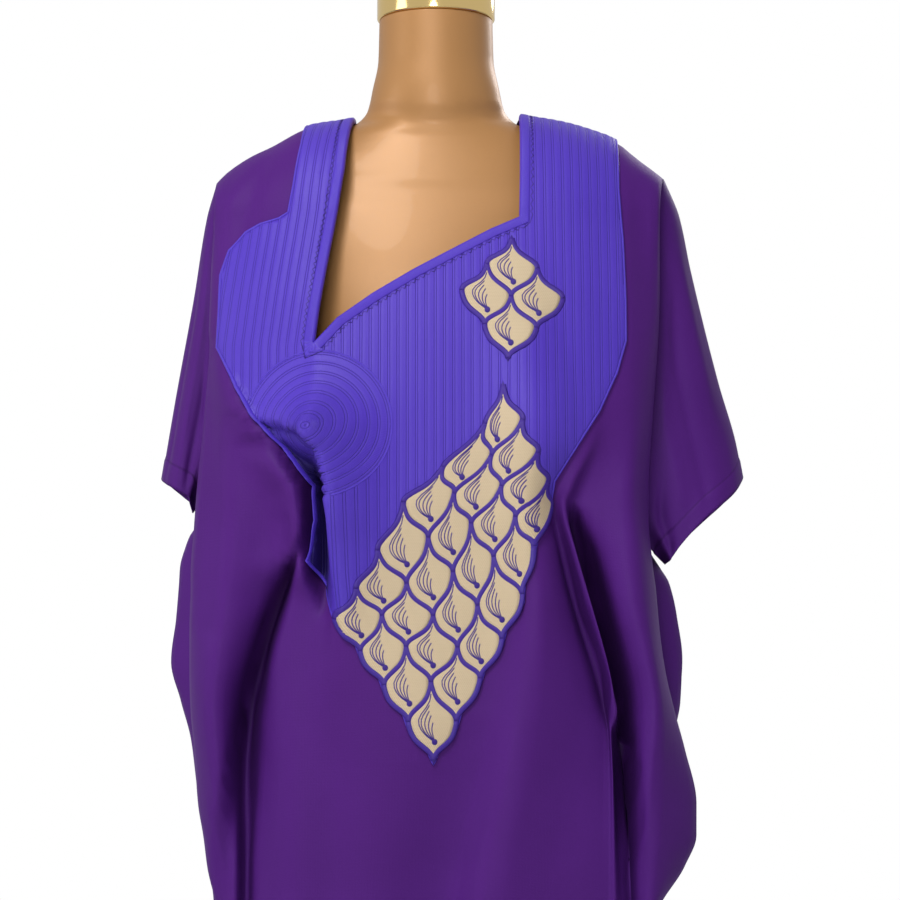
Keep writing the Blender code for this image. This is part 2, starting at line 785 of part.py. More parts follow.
def rib_points(drops, edge_outline, edge_lines, plain, keep_off):
    """Crest and valley points of the ribs with their rise, and the runs they form."""
    points = {}
    runs = []
    reach = int(260 / RIB_PITCH * 2)
    for k in range(-reach, reach + 1):
        run = []
        for drop in drops:
            x = NECK[6][0] + k * RIB_PITCH / 2
            if k <= 0:
                x += 0.135 * max(drop - NECK[6][1], 0.0)
            spot = (x, drop)
            laid = inside(spot, edge_outline) and not any(inside(spot, a) for a in plain)
            if laid and all(distance(spot, line, False) > keep_off for line in edge_lines):
                points[spot] = RIB_HEIGHT if k % 2 else 0.0
                run.append(spot)
            else:
                runs.append(run)
                run = []
        runs.append(run)
    return points, [run for run in runs if len(run) > 1]


def ring_rise(spot):
    """Rise of the stitched rings at a flat point."""
    phase = math.dist(spot, RING_CENTRE) / RING_PITCH % 1.0
    return RIB_HEIGHT * (1 - abs(2 * phase - 1))


def ring_points():
    """Crest and valley points of the stitched rings."""
    points = [RING_CENTRE]
    count = int(RING_RADIUS / RING_PITCH * 2)
    for ring in range(1, count + 1):
        radius = ring * RING_PITCH / 2
        steps = 10 if radius < 14 else 20
        for k in range(steps):
            angle = 2 * math.pi * k / steps
            spot = (RING_CENTRE[0] + radius * math.cos(angle),
                    RING_CENTRE[1] + radius * math.sin(angle))
            points.append(spot)
    return points


def lift(flat, base, offset):
    """Place a flat point on the facets of a base mesh, moved out by an offset."""
    flats, triangles, spots, pushes = base
    best = None
    for corners in triangles:
        a, b, c = (flats[i] for i in corners)
        area = (b[0] - a[0]) * (c[1] - a[1]) - (c[0] - a[0]) * (b[1] - a[1])
        u = ((flat[0] - a[0]) * (c[1] - a[1]) - (c[0] - a[0]) * (flat[1] - a[1])) / area
        v = ((b[0] - a[0]) * (flat[1] - a[1]) - (flat[0] - a[0]) * (b[1] - a[1])) / area
        least = min(u, v, 1 - u - v)
        if best is None or least > best[0]:
            best = (least, corners, (1 - u - v, u, v))
        if least > -1e-9:
            break
    spot = Vector()
    for i, share in zip(best[1], best[2]):
        spot += (spots[i] + pushes[i] * offset) * share
    return spot


def crease_points(base):
    """Middles of the edges along which a base mesh bends sharply."""
    flats, triangles, spots, pushes = base
    normals = {}
    for a, b, c in triangles:
        normal = (spots[b] - spots[a]).cross(spots[c] - spots[a]).normalized()
        for edge in ((a, b), (b, c), (c, a)):
            normals.setdefault(tuple(sorted(edge)), []).append(normal)
    return [tuple((flats[i][k] + flats[j][k]) / 2 for k in (0, 1))
            for (i, j), pair in normals.items()
            if len(pair) == 2 and pair[0].dot(pair[1]) < CREASE_COSINE]


def make_plastron(front_mesh):
    """Add the ribbed plastron, the neck binding on it and the leaves laid over it."""
    flats, triangles, spots, pushes = front_mesh
    neck = neck_line()
    edge = plastron_edge_line()
    binding_line = inset_line(neck, BINDING_WIDTH)
    outline = neck + binding_line[-1:] + [(96, TOP), (115, TOP), (135, TOP)] + edge
    outline += [(-94, TOP)] + binding_line[:1]
    under = [t for t in triangles
             if inside([sum(flats[i][k] for i in t) / 3 for k in (0, 1)], outline)]
    base = (flats, under, spots, pushes)
    lattice = leaf_group(LATTICE, LATTICE_ROWS, LATTICE_COLUMNS)
    cluster = leaf_group(CLUSTER, 2, 2)
    leaves = lattice[1] + cluster[1]
    borders = [lattice[0], cluster[0]]
    circle = [(RING_CENTRE[0] + (RING_RADIUS + 3) * math.cos(math.pi * k / 12),
               RING_CENTRE[1] + (RING_RADIUS + 3) * math.sin(math.pi * k / 12))
              for k in range(24)]
    drops = row_heights(((TOP, KNEE, 5), (KNEE, 1140, 9), (1140, 1040, 6), (1040, 900, 6)))
    edge_lines = [outline + outline[:1], binding_line] + [b + b[:1] for b in borders]
    raised, runs = rib_points(drops, outline, edge_lines, borders + [circle], 1.6)
    middles = [tuple(sum(spot[k] for spot in leaf) / len(leaf) for k in (0, 1))
               for leaf in leaves]
    grooves = lattice[2] + cluster[2]
    carried = [flats[i] for i in sorted({i for corners in under for i in corners})]
    carried += crease_points(base)
    carried = [spot for spot in carried
               if all(math.dist(spot, other) > 4.0 for other in raised)
               and all(math.dist(spot, other) > 2.0 for other in grooves + middles)]
    raised.update({spot: ring_rise(spot) for spot in carried if inside(spot, circle)})
    raised.update({spot: ring_rise(spot) for spot in ring_points()
                   if inside(spot, outline) and not any(inside(spot, b) for b in borders)
                   and all(math.dist(spot, other) > 3.0 for other in carried)})
    points = carried + grooves + list(raised) + middles
    fine, fine_triangles = triangulate(outline, leaves + borders, [binding_line], points,
                                       1.6, runs)
    rises = [rise_at(flat, raised) for flat in fine]

    offset = SEAM_GAP + PLASTRON_CLOTH
    outer = [lift(flat, base, offset + rise) for flat, rise in zip(fine, rises)]
    near_spots = {flat: spots[i] + pushes[i] * SEAM_GAP for i, flat in enumerate(flats)}
    add_plastron(fine, fine_triangles, outer, flats, under, near_spots)

    fine_pushes = push_directions(outer, fine_triangles)
    leaf_tops = {spot: LEAF_RISE for leaf in leaves for spot in leaf}
    leaf_tops.update({spot: LEAF_RISE * 1.4 for spot in middles})
    tops = [rise_at(flat, leaf_tops) for flat in fine]
    band = neck + binding_line[::-1]
    for name, loop, thickness, colour in (
            ("neck_binding", band, BINDING_CLOTH, "violet"),
            ("leaf_cluster", cluster[0], LEAF_CLOTH, "cream"),
            ("leaf_lattice", lattice[0], LEAF_CLOTH, "cream")):
        chosen = [t for t in fine_triangles
                  if inside([sum(fine[i][k] for i in t) / 3 for k in (0, 1)], loop)]
        low = [spot + push * SEAM_GAP for spot, push in zip(outer, fine_pushes)]
        high = [spot + push * (SEAM_GAP + thickness + top)
                for spot, push, top in zip(outer, fine_pushes, tops)]
        add_object(name, *wall(high, low, chosen), colour)


def rise_at(flat, rises):
    """Rise stated for a flat point, or nought."""
    near = [rise for spot, rise in rises.items()
            if abs(spot[0] - flat[0]) < 0.01 and abs(spot[1] - flat[1]) < 0.01]
    return near[0] if near else 0.0


def add_plastron(fine, fine_triangles, outer, flats, under, near_spots):
    """Join the finely ribbed face of the plastron to its plain back."""
    used = sorted({i for corners in under for i in corners})
    verts = list(outer)
    place = {}
    for i in used:
        place[i] = len(verts)
        verts.append(near_spots[flats[i]])
    faces = list(fine_triangles)
    faces += [tuple(place[i] for i in corners[::-1]) for corners in under]
    match = {}
    rims = {(a, b) for f in fine_triangles for a, b in zip(f, f[1:] + f[:1])}
    rims = [(a, b) for a, b in rims if (b, a) not in rims]
    for a, _ in rims:
        match[a] = place[min(used, key=lambda i: math.dist(flats[i], fine[a]))]
    for a, b in rims:
        faces.append((b, a, match[a]))
        faces.append((b, match[a], match[b]))
    add_object("plastron", verts, faces, "violet", False)


def make_back(panel):
    """Add the back panel with its shallow neck."""
    rows = row_heights(((TOP, KNEE, 5), (KNEE, 1140, 6), (1140, 1040, 6), (1040, 900, 5),
                        (900, 480, 5), (480, HEM, 3)))
    splits = (1, 2, 2, 2, 2, 2, 2, 2, 2, 1)
    last = float(panel.count - 1)
    neck = [(-71, TOP), (-67, 1432), (-48, 1410), (-25, 1402), (0, 1400), (25, 1402),
            (50, 1410), (69, 1432), (73.6, TOP)]
    left = side_line(panel, rows, 0.0)
    right = side_line(panel, rows, last)
    hem = [(panel.spread(i + 0.0, HEM), HEM) for i in range(1, panel.count - 1)]
    top_left = [(-182, TOP), (-162, TOP), (-144, TOP), (-128, TOP), (-111, TOP), (-90, TOP)]
    top_right = [(90, TOP), (112, TOP), (134, TOP), (156, TOP), (178, TOP), (192, TOP)]
    boundary = left[::-1] + top_left + neck + top_right + right + hem[::-1]
    flats, triangles = triangulate(boundary, [], [], grid_points(panel, rows, splits), 5.0)
    triangles = [corners[::-1] for corners in triangles]
    spots = [panel.at(*flat) + Vector((0, SEAM_GAP, 0)) for flat in flats]
    pushes = push_directions(spots, triangles, seam_points(flats, left, right))
    inner = [spot - push * CLOTH for spot, push in zip(spots, pushes)]
    add_object("back", *wall(spots, inner, triangles), "purple")


def make_sleeve(name, front, back):
    """Add one sleeve, a flat tube from the armhole to the slanted hem."""
    sign = -1 if name == "left" else 1
    around, along = 22, 7
    fold = columns(SLEEVE_FOLD[name], "share", "x", "y", "height")
    hem = columns(SLEEVE_HEM[name], "share", "x", "y", "height")
    seam_line = {"left": 0.0, "right": None}[name]

    def read(table, share):
        return Vector([smooth(table[0], values, share) for values in table[1:]])

    def armhole(share):
        low = UNDERARM[name] + 7.0
        wave = (1 - math.cos(2 * math.pi * share)) / 2
        rise = 0.5 * wave + 0.5 * (1 - abs(2 * share - 1))
        drop = low + (TOP - 6 - low) * rise
        panel = front if share < 0.5 else back
        line = seam_line if seam_line is not None else float(panel.count - 1)
        spot = panel.point(line, drop)
        low_end = math.cos(math.pi * share) ** 2
        spot.x += sign * (SEAM_GAP + 0.65 + 2.2 * low_end)
        spot.y += (1.6 if share < 0.5 else -2.4) * math.sin(math.pi * share)
        return spot

    outer = []
    for i in range(along + 1):
        b = i / along
        bend = read(fold, b) - read(fold, 0.0) * (1 - b) - read(fold, 1.0) * b
        for k in range(around):
            a = k / around
            weight = math.sin(math.pi * a) ** 1.5
            outer.append(armhole(a) * (1 - b) + read(hem, a) * b + bend * weight)
    triangles = []
    for i in range(along):
        for k in range(around):
            after = (k + 1) % around
            one, two = i * around + k, i * around + after
            three, four = two + around, one + around
            corners = [(one, four, two), (two, four, three)]
            triangles += corners if sign < 0 else [c[::-1] for c in corners]
    pushes = push_directions(outer, triangles)
    inner = [spot - push * CLOTH for spot, push in zip(outer, pushes)]
    add_object("sleeve_" + name, *wall(outer, inner, triangles), "purple")


def make_form():
    """Add the armless torso, the neck cap, the pole and the base."""
    steps = 32
    heights, widths, fronts, backs = columns(FORM, "height", "half_width", "front", "back")
    levels = list(heights[:1])
    for low, high in zip(heights, heights[1:]):
        count = max(1, round((high - low) / 36))
        levels += [low + (high - low) * (k + 1) / count for k in range(count)]
    verts = [Vector((0, 0, levels[0]))]
    for level in levels:
        width = smooth(heights, widths, level)
        for k in range(steps):
            angle = 2 * math.pi * k / steps
            depth = smooth(heights, fronts if math.sin(angle) < 0 else backs, level)
            lens = 0.7 * ease((level - 1365) / 35) * (1 - ease((level - 1440) / 22))
            x = width * math.cos(angle)
            y = depth * math.sin(angle) * abs(math.sin(angle)) ** lens
            if y < 0:
                away = ((abs(x) - FORM_BUST["x"]) / FORM_BUST["across"]) ** 2
                away += ((level - FORM_BUST["height"]) / FORM_BUST["up"]) ** 2
                y -= FORM_BUST["rise"] * math.exp(-away / 2) * min(1.0, -y / 30)
            verts.append(Vector((x, y, level)))
    verts.append(Vector((0, 0, levels[-1])))
    add_object("form_torso", verts, ring_faces(len(levels), steps), "tan")
    turned("neck_cap", CAP_PROFILE, "gold", 32)
    turned("stand_pole", POLE_PROFILE, "steel", 20)
    turned("stand_base", BASE_PROFILE, "steel", 28)


def main():
    """Clear the scene and build every solid."""
    for old in list(bpy.data.objects):
        bpy.data.objects.remove(old, do_unlink=True)
    front = Panel(FRONT_X, FRONT_DEPTH, "front")
    back = Panel(BACK_X, BACK_DEPTH, "back")
    front_mesh = make_front(front)
    make_plastron(front_mesh)
    make_back(back)
    make_sleeve("left", front, back)
    make_sleeve("right", front, back)
    make_form()


main()
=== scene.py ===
"""A grand boubou robe on an armless dress form, dressed over its construction solids.

Tables and surface sizes are in millimetres, and pieces are made in metres. X runs to
the viewer's right, Y runs away from the viewer and Z runs up from the floor.
"""

import math

import bpy
import numpy as np
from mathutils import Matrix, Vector
from mathutils.geometry import delaunay_2d_cdt


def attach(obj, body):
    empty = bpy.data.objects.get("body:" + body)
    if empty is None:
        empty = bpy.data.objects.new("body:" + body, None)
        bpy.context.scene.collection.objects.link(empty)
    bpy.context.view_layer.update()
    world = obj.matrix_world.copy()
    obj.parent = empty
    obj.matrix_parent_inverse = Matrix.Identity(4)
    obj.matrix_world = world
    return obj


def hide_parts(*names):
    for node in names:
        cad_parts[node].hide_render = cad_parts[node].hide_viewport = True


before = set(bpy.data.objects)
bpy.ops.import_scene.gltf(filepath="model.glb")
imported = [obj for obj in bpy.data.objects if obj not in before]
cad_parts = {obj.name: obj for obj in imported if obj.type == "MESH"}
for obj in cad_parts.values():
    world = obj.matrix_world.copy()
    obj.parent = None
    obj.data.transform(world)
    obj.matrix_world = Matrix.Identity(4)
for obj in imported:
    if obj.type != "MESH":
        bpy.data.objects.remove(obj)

bl_info = {
    "name": "Grand boubou robe",
    "version": (1, 0, 0),
    "blender": (4, 5, 0),
    "location": "3D View > Sidebar > Robe",
    "description": "Builds a grand boubou robe on an armless dress form",
    "category": "Object",
}

BODY = "root"

# Cloth thicknesses and gaps, as in the construction solids
SEAM_GAP = 0.35
PLASTRON_CLOTH = 2.0
BINDING_WIDTH = 7.5
RIB_PITCH = 7.6

# Shoulder curve of the body panels: below KNEE a height is a real height, and above it
# the panels roll over the shoulder while the drop height runs on to TOP
KNEE = 1360.0
TOP = 1460.0
HEM = 32.0

# Real height of the shoulder fold across the robe
SHOULDER_FOLD = (
    ("x", "height"), (-215, 1372), (-193, 1391), (-182, 1402), (-162, 1415.5), (-144, 1424),
    (-110, 1441), (-71, 1447), (0, 1462), (74, 1450), (110, 1444), (144, 1434), (158, 1428),
    (175, 1414.5), (198, 1397), (215, 1381),
)

# Sides of the robe: where the front panel turns back, and how far the back panel
# bulges out beside it
SIDES = (
    ("height", "front_left", "front_right", "back_left", "back_right"),
    (1460, -191, 200, -191, 200),
    (1360, -190, 192, -191, 193),
    (1284, -192, 191, -193, 193),
    (1179, -198, 184, -199, 186),
    (1125, -203, 181, -203, 183),
    (1098, -205, 181, -207, 184),
    (1084, -206, 182, -217, 186),
    (1074, -207, 183, -221, 187),
    (1056, -208, 185, -226, 197),
    (1042, -208, 187, -227, 206),
    (1009, -209, 190, -230, 214),
    (973, -209, 195, -234, 218),
    (938, -208, 203, -225, 216),
    (905, -205, 212, -216, 210),
    (859, -202, 222, -210, 213),
    (832, -198, 222, -205, 210),
    (806, -195, 212, -203, 204),
    (761, -187, 188, -196, 192),
    (480, -205, 202, -214, 210),
    (32, -228, 226, -238, 236),
)

# Fold lines of the front panel, a row for each section from the shoulder to the hem
FRONT_X = (
    ("height", "crest_l", "valley_l", "ridge_l", "hollow_l", "bust_l", "centre", "dip",
     "bust_r", "valley_r", "ridge_r", "deep_r", "crest_r"),
    (1460, -168, -144, -125, -108, -92, -17, 25, 71, 104, 120, 137, 168),
    (1360, -168, -144, -125, -108, -92, -17, 25, 71, 104, 120, 137, 165),
    (1284, -170, -144, -125, -108, -92, -17, 25, 71, 104, 120, 137, 164),
    (1179, -173, -136, -117, -106, -92, -10, 35, 77, 119, 130, 141, 164),
    (1114, -166, -123, -104, -93, -79, -8, 37, 72, 97, 108, 120, 156),
    (1073, -170, -124, -107, -92, -78, -10, 36, 78, 107, 118, 130, 160),
    (1035, -176, -138, -118, -95, -77, -12, 35, 82, 117, 128, 140, 166),
    (939, -187, -165, -143, -106, -73, -20, 25, 73, 144, 151, 162, 184),
    (792, -174, -160, -148, -118, -69, -28, 3, 45, 143, 153, 164, 177),
    (480, -180, -163, -142, -110, -75, -20, 15, 55, 130, 148, 164, 184),
    (32, -198, -168, -138, -106, -78, -15, 25, 65, 118, 142, 168, 202),
)

# How far each fold line stands forward of the shoulder fold
FRONT_DEPTH = (
    ("height", "crest_l", "valley_l", "ridge_l", "hollow_l", "bust_l", "centre", "dip",
     "bust_r", "valley_r", "ridge_r", "deep_r", "crest_r"),
    (1460, 48, 56, 60, 63, 65, 66, 66, 65, 64, 62, 58, 50),
    (1360, 54, 64, 69, 72, 74, 78, 78, 77, 74, 71, 66, 56),
    (1284, 72, 84, 90, 94.5, 97, 100, 99, 98, 91, 88, 83, 74),
    (1179, 84, 93, 98, 104, 113, 110, 108, 114, 100, 97, 92, 84),
    (1114, 92, 89, 92, 80, 115, 112, 111, 114, 95, 99, 84, 90),
    (1073, 92, 78, 90, 80, 109, 110, 109, 112, 90, 98, 68, 92),
    (1035, 90, 58, 85, 86, 106, 108, 108, 110, 86, 96, 58, 92),
    (939, 86, 50, 82, 94, 103, 106, 105, 108, 80, 93, 50, 90),
    (792, 82, 60, 78, 92, 100, 104, 103, 108, 85, 92, 70, 86),
    (480, 92, 70, 96, 86, 104, 100, 96, 108, 84, 98, 70, 92),
    (32, 98, 70, 102, 80, 112, 98, 94, 115, 84, 104, 70, 100),
)

# Inner points of each cup, raised over the fold lines
CUP_HEIGHT = 1180.0
CUP_RADIUS = 26.0
CUPS = (("x", "rise"), (-95, 9), (90, 4))

# Fold lines of the back panel
BACK_X = (
    ("height", "turn_l", "fold_l", "ridge_l", "centre", "ridge_r", "fold_r", "turn_r"),
    (1460, -172, -128, -74, 0, 74, 128, 176),
    (1360, -172, -128, -74, 0, 74, 128, 176),
    (1179, -182, -132, -78, 0, 78, 132, 176),
    (1085, -196, -138, -84, 0, 84, 136, 182),
    (973, -208, -146, -88, 0, 88, 144, 194),
    (859, -196, -140, -80, 0, 84, 142, 196),
    (761, -182, -130, -72, 2, 74, 130, 176),
    (480, -196, -136, -76, 4, 76, 136, 192),
    (32, -218, -148, -84, 0, 84, 146, 214),
)

# How far each fold line stands behind the shoulder fold
BACK_DEPTH = (
    ("height", "turn_l", "fold_l", "ridge_l", "centre", "ridge_r", "fold_r", "turn_r"),
    (1460, 48, 66, 74, 76, 74, 66, 48),
    (1360, 50, 68, 78, 78, 78, 68, 50),
    (1179, 70, 88, 102, 96, 102, 88, 70),
    (1085, 66, 80, 108, 94, 106, 82, 66),
    (973, 70, 76, 114, 94, 112, 80, 70),
    (859, 72, 80, 118, 98, 116, 82, 72),
    (761, 74, 84, 120, 100, 118, 84, 74),
    (480, 82, 88, 126, 100, 124, 88, 82),
    (32, 92, 92, 134, 100, 132, 92, 92),
)

# Depths of the turned edges
EDGE_DEPTH = (("height", "front_edge", "front_seam", "back_seam", "back_out"),
              (1460, 38, 23, 21, 37),
              (1360, 41, 25, 23, 40),
              (1284, 47, 30, 28, 43),
              (1179, 52, 33, 30, 44),
              (32, 50, 33, 30, 44))
LOW_SEAM_DEPTH = 22.0
LOW_OUT_DEPTH = -6.0
SEAM_INSET = 4.0
UNDERARM = {"left": 1116.0, "right": 1070.0}
UNDERARM_RUN = 44.0

# Sleeves: the top fold from the shoulder to the cuff tip
SLEEVE_FOLD = {
    "left": (("share", "x", "y", "height"), (0, -194.5, 0, 1391), (0.11, -203, 1, 1361),
             (0.38, -214, 3, 1292), (0.72, -230, 6, 1203), (1, -241.5, 8, 1134)),
    "right": (("share", "x", "y", "height"), (0, 203, 0, 1392), (0.1, 216, 2, 1361),
              (0.3, 226, 6, 1315), (0.68, 250, 10, 1218), (0.86, 265, 12, 1167),
              (1, 271, 12, 1135)),
}

# Sleeve hems, from the underarm round the front to the tip and back behind
SLEEVE_HEM = {
    "left": (("share", "x", "y", "height"), (0, -213, -6, 1104), (0.12, -213, -27, 1117),
             (0.28, -224, -30, 1125), (0.42, -237, -14, 1131), (0.5, -241.5, 8, 1134),
             (0.58, -238, 22, 1128), (0.72, -226, 27, 1117), (0.88, -214, 16, 1107),
             (1, -213, -6, 1104)),
    "right": (("share", "x", "y", "height"), (0, 201, -4, 1059), (0.1, 203, -27, 1065),
              (0.27, 230, -31, 1098), (0.42, 260, -14, 1122), (0.5, 271, 12, 1135),
              (0.58, 264, 28, 1120), (0.73, 236, 30, 1092), (0.9, 206, 18, 1064),
              (1, 201, -4, 1059)),
}

# Front neck opening, from the left shoulder down to the point and up to the right
NECK = (
    ("x", "height"), (-71, 1447), (-77.3, 1396), (-82.4, 1360), (-89.5, 1318), (-96.3, 1275),
    (-100, 1245), (-80, 1267), (-51, 1287.4), (-16.5, 1308), (14.8, 1325), (46.6, 1342.2),
    (71, 1353), (72, 1392), (72.9, 1430), (73.6, 1450),
)

# Back neck opening, in drop heights
BACK_NECK = (
    ("x", "drop"), (-71, TOP), (-67, 1432), (-48, 1410), (-25, 1402), (0, 1400),
    (25, 1402), (50, 1410), (69, 1432), (73.6, TOP),
)

# Edge of the plastron, from the right shoulder round the leaf point to the left
PLASTRON_EDGE = (
    ("x", "height"), (156, 1428.8), (154, 1380), (157, 1335), (158, 1284), (158, 1250),
    (150, 1223), (135, 1192), (115, 1161), (97, 1134), (98, 1112), (88, 1069), (77, 1031),
    (60, 997), (38, 960), (19, 919), (-2, 901), (-24, 919), (-43, 953), (-72, 990), (-80, 1022),
    (-94, 1045), (-108, 1067), (-102, 1101), (-104, 1129), (-118, 1149), (-141, 1179),
    (-163, 1210), (-182, 1245), (-180, 1276), (-179, 1306), (-173, 1327), (-160, 1342),
    (-146, 1349), (-131, 1353), (-123, 1358), (-119, 1381), (-114, 1418), (-111, 1440.8),
)

# Leaf lattice: crossing points of its curved rows, a row for each slanting line
LATTICE = (
    ("row", "first_x", "first_z", "middle_x", "middle_z", "last_x", "last_z"),
    (-1, 56.3, 1212, 83, 1157.4, 94, 1112.5),
    (0, 41.6, 1180.2, 54.7, 1129.7, 79.9, 1080.8),
    (1, 6.6, 1145, 29.4, 1099.5, 71.8, 1041.6),
    (2, -26, 1116.6, 14.7, 1059.6, 54.7, 1005),
    (3, -46.4, 1077.5, -1.5, 1023.7, 36.8, 972.4),
    (4, -62.7, 1046.5, -23.6, 998.4, 17.2, 937.3),
    (5, -80, 1021, -41.5, 966.7, -1.6, 904.7),
)
LATTICE_ROWS = 6
LATTICE_COLUMNS = 4

# Upper cluster of four leaves: its corner points
CLUSTER = (
    ("row", "first_x", "first_z", "middle_x", "middle_z", "last_x", "last_z"),
    (-1, 63.5, 1334, 84, 1308.5, 104.8, 1284),
    (1, 22.2, 1290, 41, 1262, 60.2, 1234),
)
LEAF_SCALE = 0.91
LEAF_SKEW = 0.06
LEAF_MARGIN = 0.08

# Stitched rings round the left cup
RING_CENTRE = (-95.0, 1180.0)
RING_RADIUS = 60.0
RING_PITCH = 8.0

# Sideways lean of the cords above the neck's point, and the part of the outer ring that
# is stitched, in 120ths of a turn
CORD_LEAN = 0.135
RING_STITCHED = (-24, 60)

# Dress form: level sections of the torso, and the round neck
FORM = (
    ("height", "half_width", "front", "back"),
    (820, 128, 74, 84),
    (835, 144, 82, 84),
    (900, 160, 85, 88),
    (960, 154, 82, 82),
    (1040, 120, 74, 70),
    (1115, 130, 80, 76),
    (1180, 146, 90, 80),
    (1250, 158, 86, 80),
    (1320, 172, 72, 72),
    (1360, 181, 62, 64),
    (1380, 186, 56, 60),
    (1390, 184.5, 54, 58),
    (1400, 177.5, 51, 54),
    (1412, 158.5, 48, 52),
    (1421, 138.5, 46, 50),
    (1431, 115, 44.5, 48),
    (1438, 92, 44.5, 47),
    (1445, 70, 46, 48),
    (1456, 60, 48.6, 49.6),
    (1475, 55.5, 50, 50.5),
    (1500, 50.6, 49.6, 49.6),
    (1534.6, 49.6, 49.6, 49.6),
)
FORM_BUST = {"x": 91.0, "height": 1178.0, "rise": 38.0, "across": 35.0, "up": 30.0}
CAP_PROFILE = (("radius", "height"), (50.2, 1535), (51.6, 1536), (51.6, 1564), (48, 1570),
               (30, 1574))
POLE_PROFILE = (("radius", "height"), (13, 22.3), (13, 806), (34, 812), (46, 819.6))
BASE_PROFILE = (("radius", "height"), (147, 0), (150, 3), (150, 7), (143, 11), (60, 17),
                (24, 22))

# Grid of the body panels
DRAPE_STEP = 4.0
DRAPE_SPLIT = 14

# Where the creases fade out below the shoulder and beside the seams, and how far the way
# they are pressed turns outwards across the panel
FADE_TOP = 30.0
FADE_SIDE = 16.0
PRESS_TURN = 0.003

# Where the seams' inset fades out towards the shoulder
INSET_FADE = {"start": 1320.0, "run": 125.0, "share": 1.05}

# Columns of the grid between the points of a panel, and their distance from its edge
NET_SKIP = 3
NET_MARGIN = 2.4

# Radius of the floor
FLOOR_RADIUS = 2900.0

